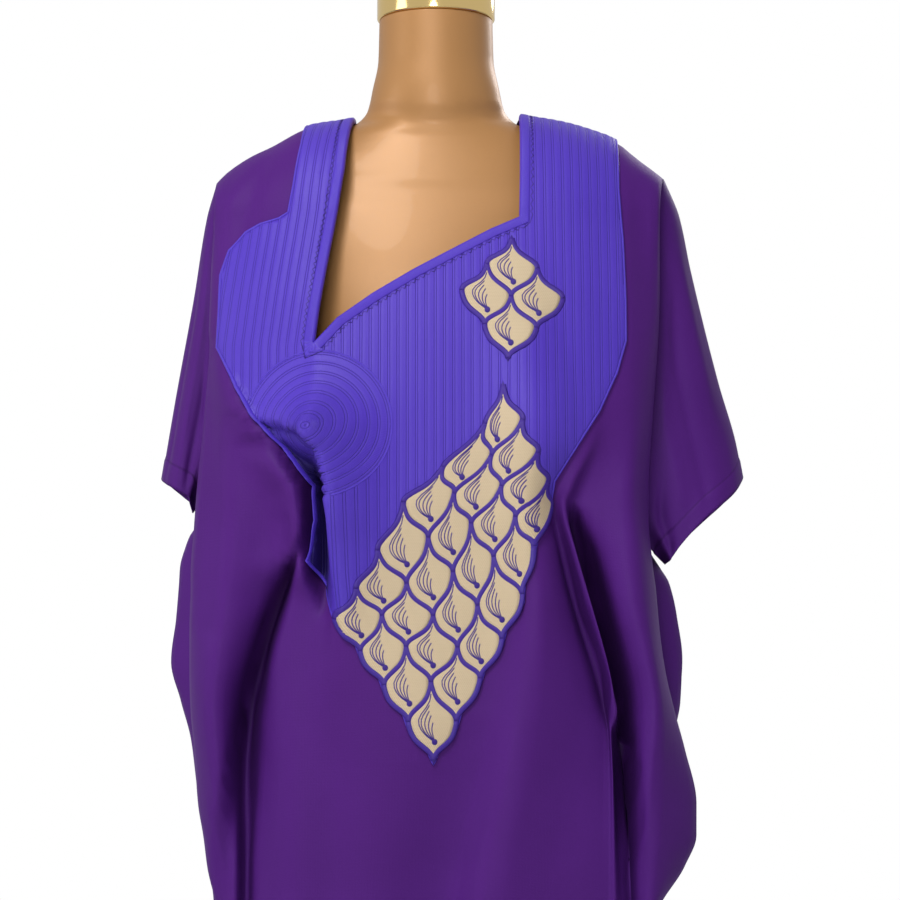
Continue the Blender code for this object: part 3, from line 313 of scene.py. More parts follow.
# Creases of the front panel: each name is one crease, with a row for each point along it. The
# columns are x, drop, depth, left, right and lean. Depth is how far it stands out, and a trough
# is below nought. Left and right are its widths on the two sides of the line as seen in front,
# or below and above a level line, and lean is how far the cloth is pulled over to the right or
# up
FRONT_CREASES = {
    "groove_outer": ((108, 1124, 0, 7, 5, 0), (119, 1096, -16, 8, 4, 0), (137, 1040, -27, 9, 4, 0),
        (150, 988, -29, 8, 4, 0), (161, 940, -27, 8, 4, 0), (168, 890, -26, 8, 4, 0),
        (172, 825, -22, 8, 4, 0), (174, 760, -17, 9, 5, 0), (170, 640, -14, 11, 8, 0),
        (164, 420, -10, 14, 12, 0), (168, 200, -6, 16, 16, 0)),
    "groove_inner": ((97, 1128, 0, 6, 6, 0), (102, 1100, -6, 6, 4, 0), (113, 1057, -10, 6, 3, 0),
        (127, 1010, -12, 6, 3, 0), (142, 964, -11, 7, 3, 0), (152, 925, -9.5, 7, 3, 0),
        (156, 886, -12, 8, 3, 0), (157, 840, -11, 9, 3, 0), (156, 780, -8, 10, 4, 0),
        (146, 620, -4, 14, 10, 0)),
    "ridge_between": ((108, 1112, 2, 5, 5, 0), (121, 1054, 8, 4, 5, 0), (135, 1006, 10, 4, 5, 0),
        (149, 962, 10, 4, 5, 0), (160, 918, 9, 4, 5, 0), (165, 863, 8, 4, 5, 0),
        (168, 800, 6, 5, 6, 0), (164, 700, 3, 8, 8, 0)),
    "flap_right": ((112, 1128, 0, 4, 12, 0), (126, 1106, 5, 5, 14, -4), (138, 1078, 9, 5, 16, -7),
        (151, 1037, 12, 5, 18, -11), (162, 985, 12, 5, 18, -12), (172, 937, 12, 5, 16, -11),
        (178, 894, 11, 5, 14, -10), (182, 825, 9, 5, 12, -8), (181, 740, 4, 6, 12, -3),
        (180, 660, 0, 8, 12, 0)),
    "hollow_middle": ((42, 940, 0, 50, 10, 0), (40, 890, -7, 60, 12, 0), (24, 810, -18, 70, 12, 0),
        (8, 720, -25, 74, 14, 0), (2, 600, -22, 74, 18, 0), (0, 400, -14, 70, 30, 0),
        (-4, 60, -10, 60, 44, 0)),
    "ridge_soft": ((96, 1100, 1, 14, 14, 0), (88, 1045, 5, 10, 22, -2), (80, 1000, 7, 8, 26, -3),
        (66, 930, 8, 8, 28, -3), (54, 877, 9, 8, 30, -3), (34, 800, 9, 9, 32, -3),
        (22, 720, 8, 12, 34, -2), (16, 560, 5, 18, 30, 0), (14, 400, 0, 20, 24, 0)),
    "groove_left": ((-104, 1092, -2, 5, 6, 0), (-111, 1078, -8, 5, 8, 0),
        (-130, 1054, -14, 4, 10, 0), (-144, 1020, -17, 4, 11, 0), (-156, 982, -18, 4, 12, 0),
        (-167, 936, -17, 4, 12, 0), (-173, 897, -15, 4, 12, 0), (-177, 858, -14, 5, 12, 0),
        (-180, 800, -11, 6, 14, 0), (-174, 640, -8, 10, 14, 0), (-166, 420, -6, 14, 16, 0),
        (-172, 200, -4, 18, 18, 0)),
    "flap_left": ((-112, 1096, 2, 12, 4, 2), (-120, 1078, 6, 13, 5, 6), (-138, 1054, 9, 16, 5, 9),
        (-153, 1018, 11, 18, 5, 10), (-166, 978, 11, 16, 5, 10), (-176, 934, 10, 14, 5, 9),
        (-182, 895, 8, 12, 5, 8), (-187, 850, 6, 10, 5, 6), (-189, 780, 3, 10, 6, 3),
        (-190, 700, 0, 10, 8, 0)),
    "rise_left": ((-147, 1000, 0, 14, 14, 0), (-146, 950, -6, 12, 12, 0),
        (-147, 900, -7, 12, 12, 0), (-149, 840, -5, 12, 12, 0), (-150, 760, 0, 14, 14, 0)),
    "crease_left": ((-141, 950, 0, 4, 4, 0), (-147, 900, 1.5, 3, 6, 0), (-152, 850, 2, 3, 6, 0),
        (-156, 800, 1.5, 4, 7, 0), (-158, 740, 0, 5, 8, 0)),
    "edge_left": ((-194, 1250, -2, 6, 6, 0), (-190, 1180, -4, 7, 7, 0), (-188, 1100, -5, 8, 8, 0),
        (-190, 1010, -4, 8, 8, 0)),
    "pocket": ((-150, 1165, -5, 9, 7, 0), (-126, 1160, -10, 10, 8, 0), (-108, 1148, -11, 10, 8, 0),
        (-96, 1126, -11, 9, 8, 0), (-94, 1092, -11, 9, 8, 0), (-94, 1056, -14, 9, 7, 0),
        (-90, 1030, -6, 8, 6, 0)),
    "pocket_lip": ((-152, 1187, 4, 3, 16, 0), (-124, 1183, 11, 3, 22, -1),
        (-101, 1177, 18, 3, 26, -3), (-88, 1163, 20, 3, 28, -4), (-81, 1138, 19, 3, 28, -4),
        (-79, 1100, 15, 3, 26, -3), (-77, 1058, 10, 4, 24, -2), (-75, 1022, 4, 5, 18, 0)),
    "pocket_flap": ((-184, 1240, 0, 14, 5, 0), (-166, 1210, 6, 16, 4, 0),
        (-146, 1180, 12, 18, 4, 0), (-124, 1150, 17, 20, 4, 0), (-111, 1129, 20, 20, 4, 1),
        (-108, 1101, 20, 18, 4, 2), (-113, 1069, 16, 16, 4, 2), (-108, 1050, 7, 12, 4, 1),
        (-102, 1036, 2, 8, 5, 0)),
    "cup_point": ((-96, 1181, 5, 10, 10, 0), (-94, 1176, 5, 10, 10, 0)),
    "shoulder_one": ((-146, 1420, 0, 6, 6, 0), (-152, 1390, -3, 6, 6, 0),
        (-161, 1352, -2, 8, 8, 0), (-168, 1320, 0, 9, 9, 0)),
    "shoulder_two": ((-166, 1410, 0, 7, 7, 0), (-174, 1370, 3, 7, 7, 0), (-182, 1310, 3, 9, 9, 0),
        (-184, 1240, 0, 10, 10, 0)),
    "shoulder_right": ((178, 1410, 0, 7, 7, 0), (176, 1350, -3, 7, 7, 0), (175, 1290, -2, 8, 8, 0),
        (172, 1230, 0, 9, 9, 0)),
    "pull_right": ((160, 1150, 0, 9, 9, 0), (166, 1090, 3, 9, 9, 0), (176, 1010, 4, 9, 9, 0),
        (186, 920, 2, 10, 10, 0)),
    "skirt_one": ((-128, 1010, 0, 12, 12, 0), (-122, 930, 3, 13, 13, 0), (-112, 820, 3, 15, 15, 0),
        (-104, 640, 4, 16, 16, 0), (-108, 300, 5, 18, 18, 0), (-112, 60, 6, 20, 20, 0)),
    "skirt_two": ((-70, 980, 0, 13, 13, 0), (-82, 900, -3, 13, 13, 0), (-92, 780, -3, 15, 15, 0),
        (-88, 520, -4, 16, 16, 0), (-92, 60, -6, 18, 18, 0)),
    "skirt_three": ((-20, 860, 0, 16, 16, 0), (-30, 700, -3, 18, 18, 0), (-36, 420, -4, 20, 20, 0),
        (-34, 60, -7, 22, 22, 0)),
    "skirt_four": ((20, 860, 0, 16, 16, 0), (14, 640, 3, 18, 18, 0), (20, 360, 5, 19, 19, 0),
        (24, 60, 7, 20, 20, 0)),
    "skirt_five": ((96, 900, 0, 12, 12, 0), (92, 760, -3, 14, 14, 0), (88, 500, -4, 16, 16, 0),
        (86, 60, -7, 18, 18, 0)),
}

# Creases of the back panel, with the same columns
BACK_CREASES = {
    "blade_left": ((-120, 1400, 0, 10, 11, 0), (-112, 1300, -8, 12, 13, 0),
        (-104, 1150, -12, 12, 13, 0), (-96, 950, -10, 13, 14, 0), (-92, 700, -7, 15, 17, 0)),
    "blade_right": ((118, 1390, 0, 10, 11, 0), (112, 1270, -8, 11, 12, 0),
        (100, 1100, -11, 12, 13, 0), (96, 900, -11, 13, 14, 0), (90, 660, -6, 15, 17, 0)),
    "middle": ((4, 1330, 0, 14, 15, 0), (-6, 1180, 7, 15, 17, 0), (4, 900, 8, 17, 19, 0),
        (10, 500, 10, 19, 21, 0), (6, 60, 14, 20, 23, 0)),
    "yoke_left": ((-40, 1380, 0, 12, 13, 0), (-58, 1220, 5, 13, 14, 0), (-46, 980, 7, 14, 15, 0),
        (-44, 600, 9, 15, 17, 0), (-50, 60, -11, 17, 19, 0)),
    "yoke_right": ((44, 1370, 0, 12, 13, 0), (56, 1200, -5, 13, 14, 0), (48, 900, -7, 14, 15, 0),
        (44, 500, -8, 15, 17, 0), (46, 60, -12, 17, 19, 0)),
    "side_left": ((-160, 1180, 0, 8, 10, 0), (-164, 1090, -9, 8, 10, 0),
        (-172, 990, -11, 9, 10, 0), (-168, 880, -9, 10, 11, 0), (-160, 640, -6, 13, 14, 0),
        (-164, 200, -6, 15, 17, 0)),
    "side_right": ((158, 1160, 0, 8, 10, 0), (164, 1070, -9, 8, 10, 0), (170, 970, -12, 9, 10, 0),
        (168, 860, -9, 10, 11, 0), (158, 600, -6, 13, 14, 0), (160, 200, -6, 15, 17, 0)),
    "bulge_left": ((-214, 1096, 0, 6, 7, 0), (-222, 1050, -5, 6, 7, 0), (-226, 1006, -6, 7, 8, 0),
        (-222, 950, -4, 7, 8, 0)),
    "bulge_right": ((200, 1056, 0, 6, 7, 0), (208, 1010, -5, 6, 7, 0), (210, 960, -6, 7, 8, 0),
        (206, 900, -4, 7, 8, 0)),
}

# Folds of the sleeves: place round the sleeve, and how deep and wide each one is
SLEEVE_FOLDS = {
    "left": (("round", "start", "end", "depth", "width"),
             (0.20, 0.15, 0.95, -2.2, 0.030), (0.30, 0.05, 0.80, 2.0, 0.035),
             (0.40, 0.20, 1.00, -1.6, 0.028), (0.66, 0.10, 0.90, -2.2, 0.035),
             (0.78, 0.20, 1.00, 2.0, 0.030)),
    "right": (("round", "start", "end", "depth", "width"),
              (0.12, 0.35, 1.00, -3.0, 0.030), (0.21, 0.05, 0.85, 2.4, 0.034),
              (0.30, 0.15, 1.00, -2.4, 0.032), (0.40, 0.10, 0.75, 1.8, 0.030),
              (0.64, 0.10, 0.95, -2.4, 0.035), (0.78, 0.25, 1.00, 2.2, 0.030)),
}
SLEEVE_BAND = 20.0

# How far the raw edge of a sleeve goes inside the armhole
SLEEVE_TUCK = 7.0

# Grid of a sleeve, where its armhole starts and stops, and how clear it stays of the panels
SLEEVE_AROUND = 120
SLEEVE_ALONG = 64
ARMHOLE_FOOT = 7.0
ARMHOLE_HEAD = 6.0
ARMHOLE_GAP = 0.65
ARMHOLE_FOOT_GAP = 2.2
ARMHOLE_SHIFT = {"front": 1.6, "back": -2.4}
SLEEVE_HEM_RISE = 0.7

# Vein lines of a leaf, from the dot near its foot: where each one bends and ends
LEAF_DOT = (0.14, 0.21)
VEINS = (
    ("bend_across", "bend_along", "end_across", "end_along"),
    (-1.25, 0.36, -0.14, 0.88),
    (-0.95, 0.36, -0.24, 0.72),
    (-0.66, 0.36, -0.16, 0.64),
    (-0.40, 0.36, -0.04, 0.58),
    (-0.14, 0.36, 0.04, 0.48),
)


def columns(table, *names):
    """Return the named columns of a table as lists of floats."""
    heading = table[0]
    picks = [heading.index(name) for name in names]
    return [[float(row[pick]) for row in table[1:]] for pick in picks]


def curve_values(keys, values, at):
    """Read a table column at many places along a curve that never overshoots a row."""
    keys, values = np.asarray(keys, float), np.asarray(values, float)
    if keys[0] > keys[-1]:
        keys, values = keys[::-1], values[::-1]
    at = np.clip(at, keys[0], keys[-1])
    run = np.diff(keys)
    rise = np.diff(values) / run
    both = rise[:-1] * rise[1:]
    total = np.where(both > 0, rise[:-1] + rise[1:], 1.0)
    inner = np.where(both > 0, 2.0 * both / total, 0.0)
    slopes = np.concatenate((rise[:1], inner, rise[-1:]))
    low = np.clip(np.searchsorted(keys, at, side="right") - 1, 0, len(run) - 1)
    t = (at - keys[low]) / run[low]
    start = (1 + 2 * t) * (1 - t) ** 2 * values[low] + t * (1 - t) ** 2 * run[low] * slopes[low]
    end = t * t * (3 - 2 * t) * values[low + 1]
    return start + end + t * t * (t - 1) * run[low] * slopes[low + 1]


def smooth(keys, values, key):
    """Read a table column at one place."""
    return float(curve_values(keys, values, key))


def ease(t):
    """Run smoothly from nought to one."""
    t = np.clip(t, 0.0, 1.0)
    return t * t * (3 - 2 * t)


def unit(ways):
    """Scale an array of directions to length one."""
    return ways / np.maximum(np.linalg.norm(ways, axis=-1, keepdims=True), 1e-9)


def inside(points, outline):
    """Tell which flat points lie inside a closed outline."""
    points = np.asarray(points, float)
    x, y = points[:, 0], points[:, 1]
    hits = np.zeros(len(points), bool)
    for (x0, y0), (x1, y1) in zip(outline[-1:] + outline[:-1], outline):
        if y0 != y1:
            crosses = ((y0 > y) != (y1 > y)) & (x < (x0 - x1) * (y - y1) / (y0 - y1) + x1)
            hits ^= crosses
    return hits


def nearest(points, line):
    """Distance from flat points to an open line, how far along it they lie, and their side."""
    points = np.asarray(points, float)
    best = np.full(points.shape[:-1], 1e9)
    along = np.zeros(points.shape[:-1])
    right = np.zeros(points.shape[:-1], bool)
    for i in range(len(line) - 1):
        start = np.array(line[i], float)
        run = np.array(line[i + 1], float) - start
        t = np.clip((points - start) @ run / max(run @ run, 1e-9), 0.0, 1.0)
        apart = points - start - t[..., None] * run
        away = np.linalg.norm(apart, axis=-1)
        closer = away < best
        best = np.where(closer, away, best)
        along = np.where(closer, i + t, along)
        right = np.where(closer, run[0] * apart[..., 1] > run[1] * apart[..., 0], right)
    return best, along, right


class Drape:
    """A body panel laid out on a fine grid, with its creases pressed in."""

    def __init__(self, facing, x_table, depth_table, creases):
        self.sign = -1.0 if facing == "front" else 1.0
        self.facing = facing
        self.drops = np.arange(TOP, HEM - 0.1, -DRAPE_STEP)
        names = x_table[0][1:]
        count = len(names) + 4
        self.last = count - 1
        edge_l, seam_l = self.side("left")
        edge_r, seam_r = self.side("right")
        heights = columns(x_table, "height")[0]
        across = [curve_values(heights, columns(x_table, n)[0], self.drops) for n in names]
        depths = [curve_values(columns(depth_table, "height")[0], columns(depth_table, n)[0],
                               self.drops) for n in names]
        across = np.array([seam_l[0], edge_l[0]] + across + [edge_r[0], seam_r[0]]).T
        depths = np.array([seam_l[1], edge_l[1]] + depths + [edge_r[1], seam_r[1]]).T
        keys = np.arange(count)
        self.lines = np.linspace(0, self.last, self.last * DRAPE_SPLIT + 1)
        x = np.array([curve_values(keys, row, self.lines) for row in across])
        depth = np.array([curve_values(keys, row, self.lines) for row in depths])
        self.flat = self.lay_out(x, across, depths)
        drop = np.repeat(self.drops[:, None], len(self.lines), 1)
        if facing == "front":
            for cup_x, rise in CUPS[1:]:
                away = (x - cup_x) ** 2 + (drop - CUP_HEIGHT) ** 2
                depth += rise * np.exp(-away / (2 * CUP_RADIUS ** 2))
        self.spots = self.roll(x, depth, drop)
        self.press(creases, drop)

    def side(self, name):
        """Return the turned edge and seam of one side as arrays of x and depth."""
        drop = self.drops
        heights, edges = columns(SIDES, "height", self.facing + "_" + name)
        fronts = columns(SIDES, "front_" + name)[0]
        sign = -1 if name == "left" else 1
        edge_x = curve_values(heights, edges, drop)
        fade = INSET_FADE["share"] * ease((drop - INSET_FADE["start"]) / INSET_FADE["run"])
        inset = SEAM_INSET * (1 - fade)
        seam_x = curve_values(heights, fronts, drop) - sign * inset
        levels, edge, front_seam, back_seam, back_out = columns(
            EDGE_DEPTH, "height", "front_edge", "front_seam", "back_seam", "back_out")
        up = ease((drop - UNDERARM[name]) / UNDERARM_RUN)
        if self.facing == "front":
            seam = LOW_SEAM_DEPTH * (1 - up) + curve_values(levels, front_seam, drop) * up
            return (edge_x, curve_values(levels, edge, drop)), (seam_x, seam)
        low = SEAM_GAP - LOW_SEAM_DEPTH
        seam = low * (1 - up) + curve_values(levels, back_seam, drop) * up
        out = LOW_OUT_DEPTH * (up - 1) + curve_values(levels, back_out, drop) * up
        return (edge_x, out), (seam_x, seam)

    def lay_out(self, x, across, depths):
        """Flat positions across the panel, with the turned edges laid out sideways."""
        flat = x.copy()
        left = np.hypot(across[:, 1] - across[:, 0], depths[:, 1] - depths[:, 0])
        right = np.hypot(across[:, -1] - across[:, -2], depths[:, -1] - depths[:, -2])
        for i, line in enumerate(self.lines):
            if line < 1:
                flat[:, i] = across[:, 1] - (1 - line) * left
            elif line > self.last - 1:
                flat[:, i] = across[:, -2] + (line - self.last + 1) * right
        return flat

    def roll(self, x, depth, drop):
        """Place the grid, rolled over the shoulder near the top."""
        turn = np.pi / 2 * np.clip((drop - KNEE) / (TOP - KNEE), 0.0, 1.0)
        keys, values = columns(SHOULDER_FOLD, "x", "height")
        fold = curve_values(keys, values, x)
        height = np.where(drop <= KNEE, drop, KNEE + (fold - KNEE) * np.sin(turn))
        y = self.sign * depth * np.cos(turn)
        if self.facing == "back":
            y = y + SEAM_GAP
        return np.stack((x, y, height), -1)

    def outward(self):
        """Outward directions of the grid."""
        across = np.gradient(self.spots, axis=1)
        down = np.gradient(self.spots, axis=0)
        return unit(np.cross(across, down) * self.sign)

    def press(self, creases, drop):
        """Move the grid in and out along the creases."""
        points = np.stack((self.flat, drop), -1)
        move = np.zeros(drop.shape)
        lean = np.zeros(points.shape)
        for line in creases.values():
            away, along, right = nearest(points, [(p[0], p[1]) for p in line])
            places = np.arange(len(line))
            depth, left_width, right_width, pull = [
                np.interp(along, places, [p[k] for p in line]) for k in (2, 3, 4, 5)]
            width = np.where(right, right_width, left_width)
            share = np.exp(-(away / width) ** 2)
            move += depth * share
            runs = unit(np.diff([(p[0], p[1]) for p in line], axis=0))
            across = runs[np.minimum(along.astype(int), len(runs) - 1)]
            lean += (pull * share)[..., None] * np.stack((-across[..., 1], across[..., 0]), -1)
        fade = ease((TOP - drop) / FADE_TOP)
        fade *= ease((self.flat - self.flat[:, :1]) / FADE_SIDE)
        fade *= ease((self.flat[:, -1:] - self.flat) / FADE_SIDE)
        turn = np.pi / 2 * np.clip((drop - KNEE) / (TOP - KNEE), 0.0, 1.0)
        push = unit(np.stack((self.flat * PRESS_TURN, self.sign * np.cos(turn), np.sin(turn)), -1))
        self.spots = self.spots + push * (move * fade)[..., None]
        self.spots[..., 0] += lean[..., 0] * fade
        self.spots[..., 2] += lean[..., 1] * fade
        self.ways = self.outward()

    def place(self, flats, offset=0.0):
        """Place flat points in space, moved out from the panel by an offset."""
        flats = np.asarray(flats, float)
        offset = np.broadcast_to(offset, (len(flats),))
        rows = np.clip((TOP - flats[:, 1]) / DRAPE_STEP, 0, len(self.drops) - 1.0001)
        spots = np.empty((len(flats), 3))
        places = np.arange(len(self.lines))
        for n, (x, row, out) in enumerate(zip(flats[:, 0], rows, offset)):
            j = int(row)
            share = row - j
            spot = 0.0
            way = 0.0
            for k, part in ((j, 1 - share), (j + 1, share)):
                u = min(np.interp(x, self.flat[k], places), len(places) - 1.0001)
                i = int(u)
                g = u - i
                spot = spot + part * ((1 - g) * self.spots[k, i] + g * self.spots[k, i + 1])
                way = way + part * ((1 - g) * self.ways[k, i] + g * self.ways[k, i + 1])
            spots[n] = spot + way / max(np.linalg.norm(way), 1e-9) * out
        return spots

    def seam(self, side):
        """Flat points down one side seam."""
        column = 0 if side == "left" else -1
        return [(float(x), float(d)) for x, d in zip(self.flat[:, column], self.drops)]

    def net(self, skip):
        """Flat points of the grid, taking every few columns."""
        picks = range(skip, len(self.lines) - 1, skip)
        return [(float(self.flat[j, i]), float(self.drops[j]))
                for j in range(1, len(self.drops) - 1) for i in picks]


def cut(boundary, points, keep_off, strands=()):
    """Cut a flat shape into triangles through the points given inside it."""
    points = np.array(points, float)
    keep = inside(points, boundary)
    keep &= nearest(points, boundary + boundary[:1])[0] > keep_off
    for strand in strands:
        keep &= nearest(points, strand)[0] > keep_off
    verts = list(boundary)
    edges = []
    for strand in strands:
        edges += [(len(verts) + i, len(verts) + i + 1) for i in range(len(strand) - 1)]
        verts += strand
    verts += [tuple(p) for p in points[keep]]
    face = list(range(len(boundary)))
    out = delaunay_2d_cdt([Vector(v) for v in verts], edges, [face], 1, 1e-4)
    flats = np.array([tuple(v) for v in out[0]])
    corners = np.array([tuple(f) for f in out[2] if len(f) == 3])
    a, b, c = (flats[corners[:, k]] for k in range(3))
    area = (b[:, 0] - a[:, 0]) * (c[:, 1] - a[:, 1]) - (c[:, 0] - a[:, 0]) * (b[:, 1] - a[:, 1])
    corners[area < 0] = corners[area < 0][:, ::-1]
    return flats, corners[np.abs(area) > 1e-6]


def lengths(line):
    """Length run along a flat line at each of its points."""
    steps = np.linalg.norm(np.diff(line, axis=0), axis=1)
    return np.concatenate(([0.0], np.cumsum(steps)))


def circle(centre, radius, steps, picks=None):
    """Flat points round a circle, all of them or those picked by number."""
    turns = [2 * math.pi * k / steps for k in (picks or range(steps))]
    return [(centre[0] + radius * math.cos(turn), centre[1] + radius * math.sin(turn))
            for turn in turns]


def disc_faces(rings, steps):
    """Faces between a middle point and the rings round it."""
    faces = [(0, 1 + k, 1 + (k + 1) % steps) for k in range(steps)]
    for low in range(1, 1 + (rings - 1) * steps, steps):
        faces += [(low + k, low + steps + k, low + steps + (k + 1) % steps,
                   low + (k + 1) % steps) for k in range(steps)]
    return faces


def grid_faces(rows, across, closed=False):
    """Four-sided faces of a grid of points, closed round or open."""
    faces = []
    for i in range(rows - 1):
        for k in range(across if closed else across - 1):
            after = (k + 1) % across
            faces.append((i * across + k, (i + 1) * across + k,
                          (i + 1) * across + after, i * across + after))
    return faces


def make_piece(name, spots, faces, finish, maps=None):
    """Make a mesh object from points in millimetres, with its named UV maps."""
    mesh = bpy.data.meshes.new(name)
    mesh.from_pydata((np.asarray(spots) * 0.001).tolist(), [],
                     [tuple(int(i) for i in f) for f in faces])
    mesh.polygons.foreach_set("use_smooth", [True] * len(mesh.polygons))
    corners = np.empty(len(mesh.loops), int)
    mesh.loops.foreach_get("vertex_index", corners)
    for title, values in (maps or {}).items():
        layer = mesh.uv_layers.new(name=title)
        values = np.asarray(values, float)
        if len(values) == len(mesh.vertices):
            values = values[corners]
        layer.data.foreach_set("uv", values.ravel())
    mesh.materials.append(finish)
    mesh.update()
    piece = bpy.data.objects.new(name, mesh)
    bpy.context.scene.collection.objects.link(piece)
    return piece


def choose(piece):
    """Make one piece the only selected and active object."""
    bpy.ops.object.select_all(action="DESELECT")
    piece.select_set(True)
    bpy.context.view_layer.objects.active = piece


def thicken(piece, millimetres):
    """Give a sheet its thickness on its inner side."""
    wall = piece.modifiers.new("wall", "SOLIDIFY")
    wall.thickness = millimetres * 0.001
    wall.offset = -1
    choose(piece)
    bpy.ops.object.modifier_apply(modifier="wall")


def join(pieces, name):
    """Join like pieces into one object."""
    bpy.ops.object.select_all(action="DESELECT")
    for piece in pieces:
        piece.select_set(True)
    bpy.context.view_layer.objects.active = pieces[0]
    bpy.ops.object.join()
    pieces[0].name = name
    return pieces[0]


def hang(piece, slot, *nodes):
    """Fix a piece to the body, and let it stand for its construction solids."""
    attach(piece, BODY)
    if nodes:
        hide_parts(*nodes)


def fold_height(x):
    """Real height of the shoulder fold at a place across the robe."""
    keys, values = columns(SHOULDER_FOLD, "x", "height")
    return smooth(keys, values, x)


def drop_height(x, height):
    """Turn a real height at x into a drop height on the panels."""
    if height <= KNEE:
        return height
    share = (height - KNEE) / (fold_height(x) - KNEE)
    return KNEE + (TOP - KNEE) * math.asin(min(share, 1.0)) * 2 / math.pi


def even_line(line, step):
    """Add points to an open line so that none of its spans is longer than a step."""
    spots = [line[0]]
    for start, end in zip(line, line[1:]):
        count = max(1, math.ceil(math.dist(start, end) / step - 0.2))
        spots += [tuple(Vector(start).lerp(Vector(end), (k + 1) / count))
                  for k in range(count)]
    return spots


def neck_line():
    """Front neck edge as flat positions with drop heights."""
    return even_line(on_drop(NECK[1:]), 18)


def plastron_edge_line():
    """Free edge of the plastron as flat positions with drop heights."""
    return even_line(on_drop(PLASTRON_EDGE[1:]), 32)


def inset_line(line, width):
    """Move an open line to its left by a width, easing sharp corners."""
    moved = []
    for i, spot in enumerate(line):
        before = Vector(line[i]) - Vector(line[max(i - 1, 0)])
        after = Vector(line[min(i + 1, len(line) - 1)]) - Vector(line[i])
        ways = [way.normalized() for way in (before, after) if way.length > 1e-6]
        sides = [Vector((way.y, -way.x)) for way in ways]
        side = sum(sides, Vector((0.0, 0.0))).normalized()
        reach = width / max(side.dot(sides[0]), 0.62)
        moved.append(tuple(Vector(spot) + side * reach))
    moved[0] = (moved[0][0], TOP)
    moved[-1] = (moved[-1][0], TOP)
    return moved


def leaf_node(table, row, column):
    """Crossing point of a leaf lattice at a row and column, which may be fractions."""
    rows = columns(table, "row")[0]
    ends = columns(table, "first_x", "first_z", "middle_x", "middle_z", "last_x", "last_z")
    low = max(i for i in range(len(rows) - 1) if rows[i] <= max(row, rows[0]))
    share = (row - rows[low]) / (rows[low + 1] - rows[low])
    x0, z0, x1, z1, x2, z2 = [end[low] * (1 - share) + end[low + 1] * share for end in ends]
    span = 4.0 if table is LATTICE else 2.0
    t = (column + 1) / span
    first, middle, last = (1 - t) * (1 - 2 * t), 4 * t * (1 - t), t * (2 * t - 1)
    return (x0 * first + x1 * middle + x2 * last, z0 * first + z1 * middle + z2 * last)


def leaf_point(table, row, column, share, spread):
    """Point at a share of a leaf's length, spread to a side of its middle line."""
    return leaf_node(table, row - share - spread / 2, column - share + spread / 2)


def leaf_reach(share, scale):
    """Place along a leaf's middle line at a share of its length, and half width there."""
    warped = share + LEAF_SKEW * (1 - math.cos(4 * math.pi * share)) / 2
    return 0.5 + (share - 0.5) * scale, scale * (1 - math.cos(2 * math.pi * warped)) / 2


def leaf_side(table, row, column, side, shares, scale, margin=0.0):
    """Points along one side of a leaf, moved outward by a margin."""
    points = []
    for share in shares:
        up, spread = leaf_reach(share, scale)
        points.append(leaf_point(table, row, column, up, side * (spread + margin)))
    return points


def leaf_border(table, rows, columns_wide):
    """Scalloped edge round a whole group of leaves."""
    last, side = rows - 1, columns_wide - 1
    low, high = (0.1, 0.25, 0.4), (0.6, 0.75, 0.9)
    loop = [leaf_point(table, last, side, -0.06, 0.0)]
    for i in range(last, -1, -1):
        loop += leaf_side(table, i, side, 1, low, 1.0, LEAF_MARGIN)
    loop += leaf_side(table, 0, side, 1, (0.5,), 1.0, LEAF_MARGIN)
    for j in range(side, -1, -1):
        loop += leaf_side(table, 0, j, 1, high, 1.0, LEAF_MARGIN)
    loop.append(leaf_point(table, 0, 0, 1.06, 0.0))
    for i in range(rows):
        loop += leaf_side(table, i, 0, -1, high[::-1], 1.0, LEAF_MARGIN)
    loop += leaf_side(table, last, 0, -1, (0.5,), 1.0, LEAF_MARGIN)
    for j in range(columns_wide):
        loop += leaf_side(table, last, j, -1, low[::-1], 1.0, LEAF_MARGIN)
    return on_drop(loop)


def on_drop(points):
    """Turn points of real height into flat positions with drop heights."""
    return [(x, drop_height(x, z)) for x, z in points]


class Value:
    """A shader value that plain arithmetic can be written on."""

    def __init__(self, shop, socket):
        self.shop = shop
        self.socket = socket

    def math(self, operation, *values):
        """Add one Math node."""
        return self.shop.node("ShaderNodeMath", {"operation": operation}, *values)

    def __add__(self, other):
        return self.math("ADD", self, other)

    def __radd__(self, other):
        return self.math("ADD", other, self)

    def __sub__(self, other):
        return self.math("SUBTRACT", self, other)

    def __rsub__(self, other):
        return self.math("SUBTRACT", other, self)

    def __mul__(self, other):
        return self.math("MULTIPLY", self, other)

    def __rmul__(self, other):
        return self.math("MULTIPLY", other, self)

    def __truediv__(self, other):
        return self.math("DIVIDE", self, other)

    def __abs__(self):
        return self.math("ABSOLUTE", self)

    def __mod__(self, other):
        return self.math("FLOORED_MODULO", self, other)

    def sine(self):
        """Sine of the value in radians."""
        return self.math("SINE", self)

    def above(self, low, high):
        """Run from nought to one between two limits."""
        settings = {"interpolation_type": "SMOOTHSTEP"}
        return self.shop.node("ShaderNodeMapRange", settings, self, low, high, 0.0, 1.0)

    def capped(self):
        """Keep the value between nought and one."""
        return self.math("MINIMUM", self.math("MAXIMUM", self, 0.0), 1.0)


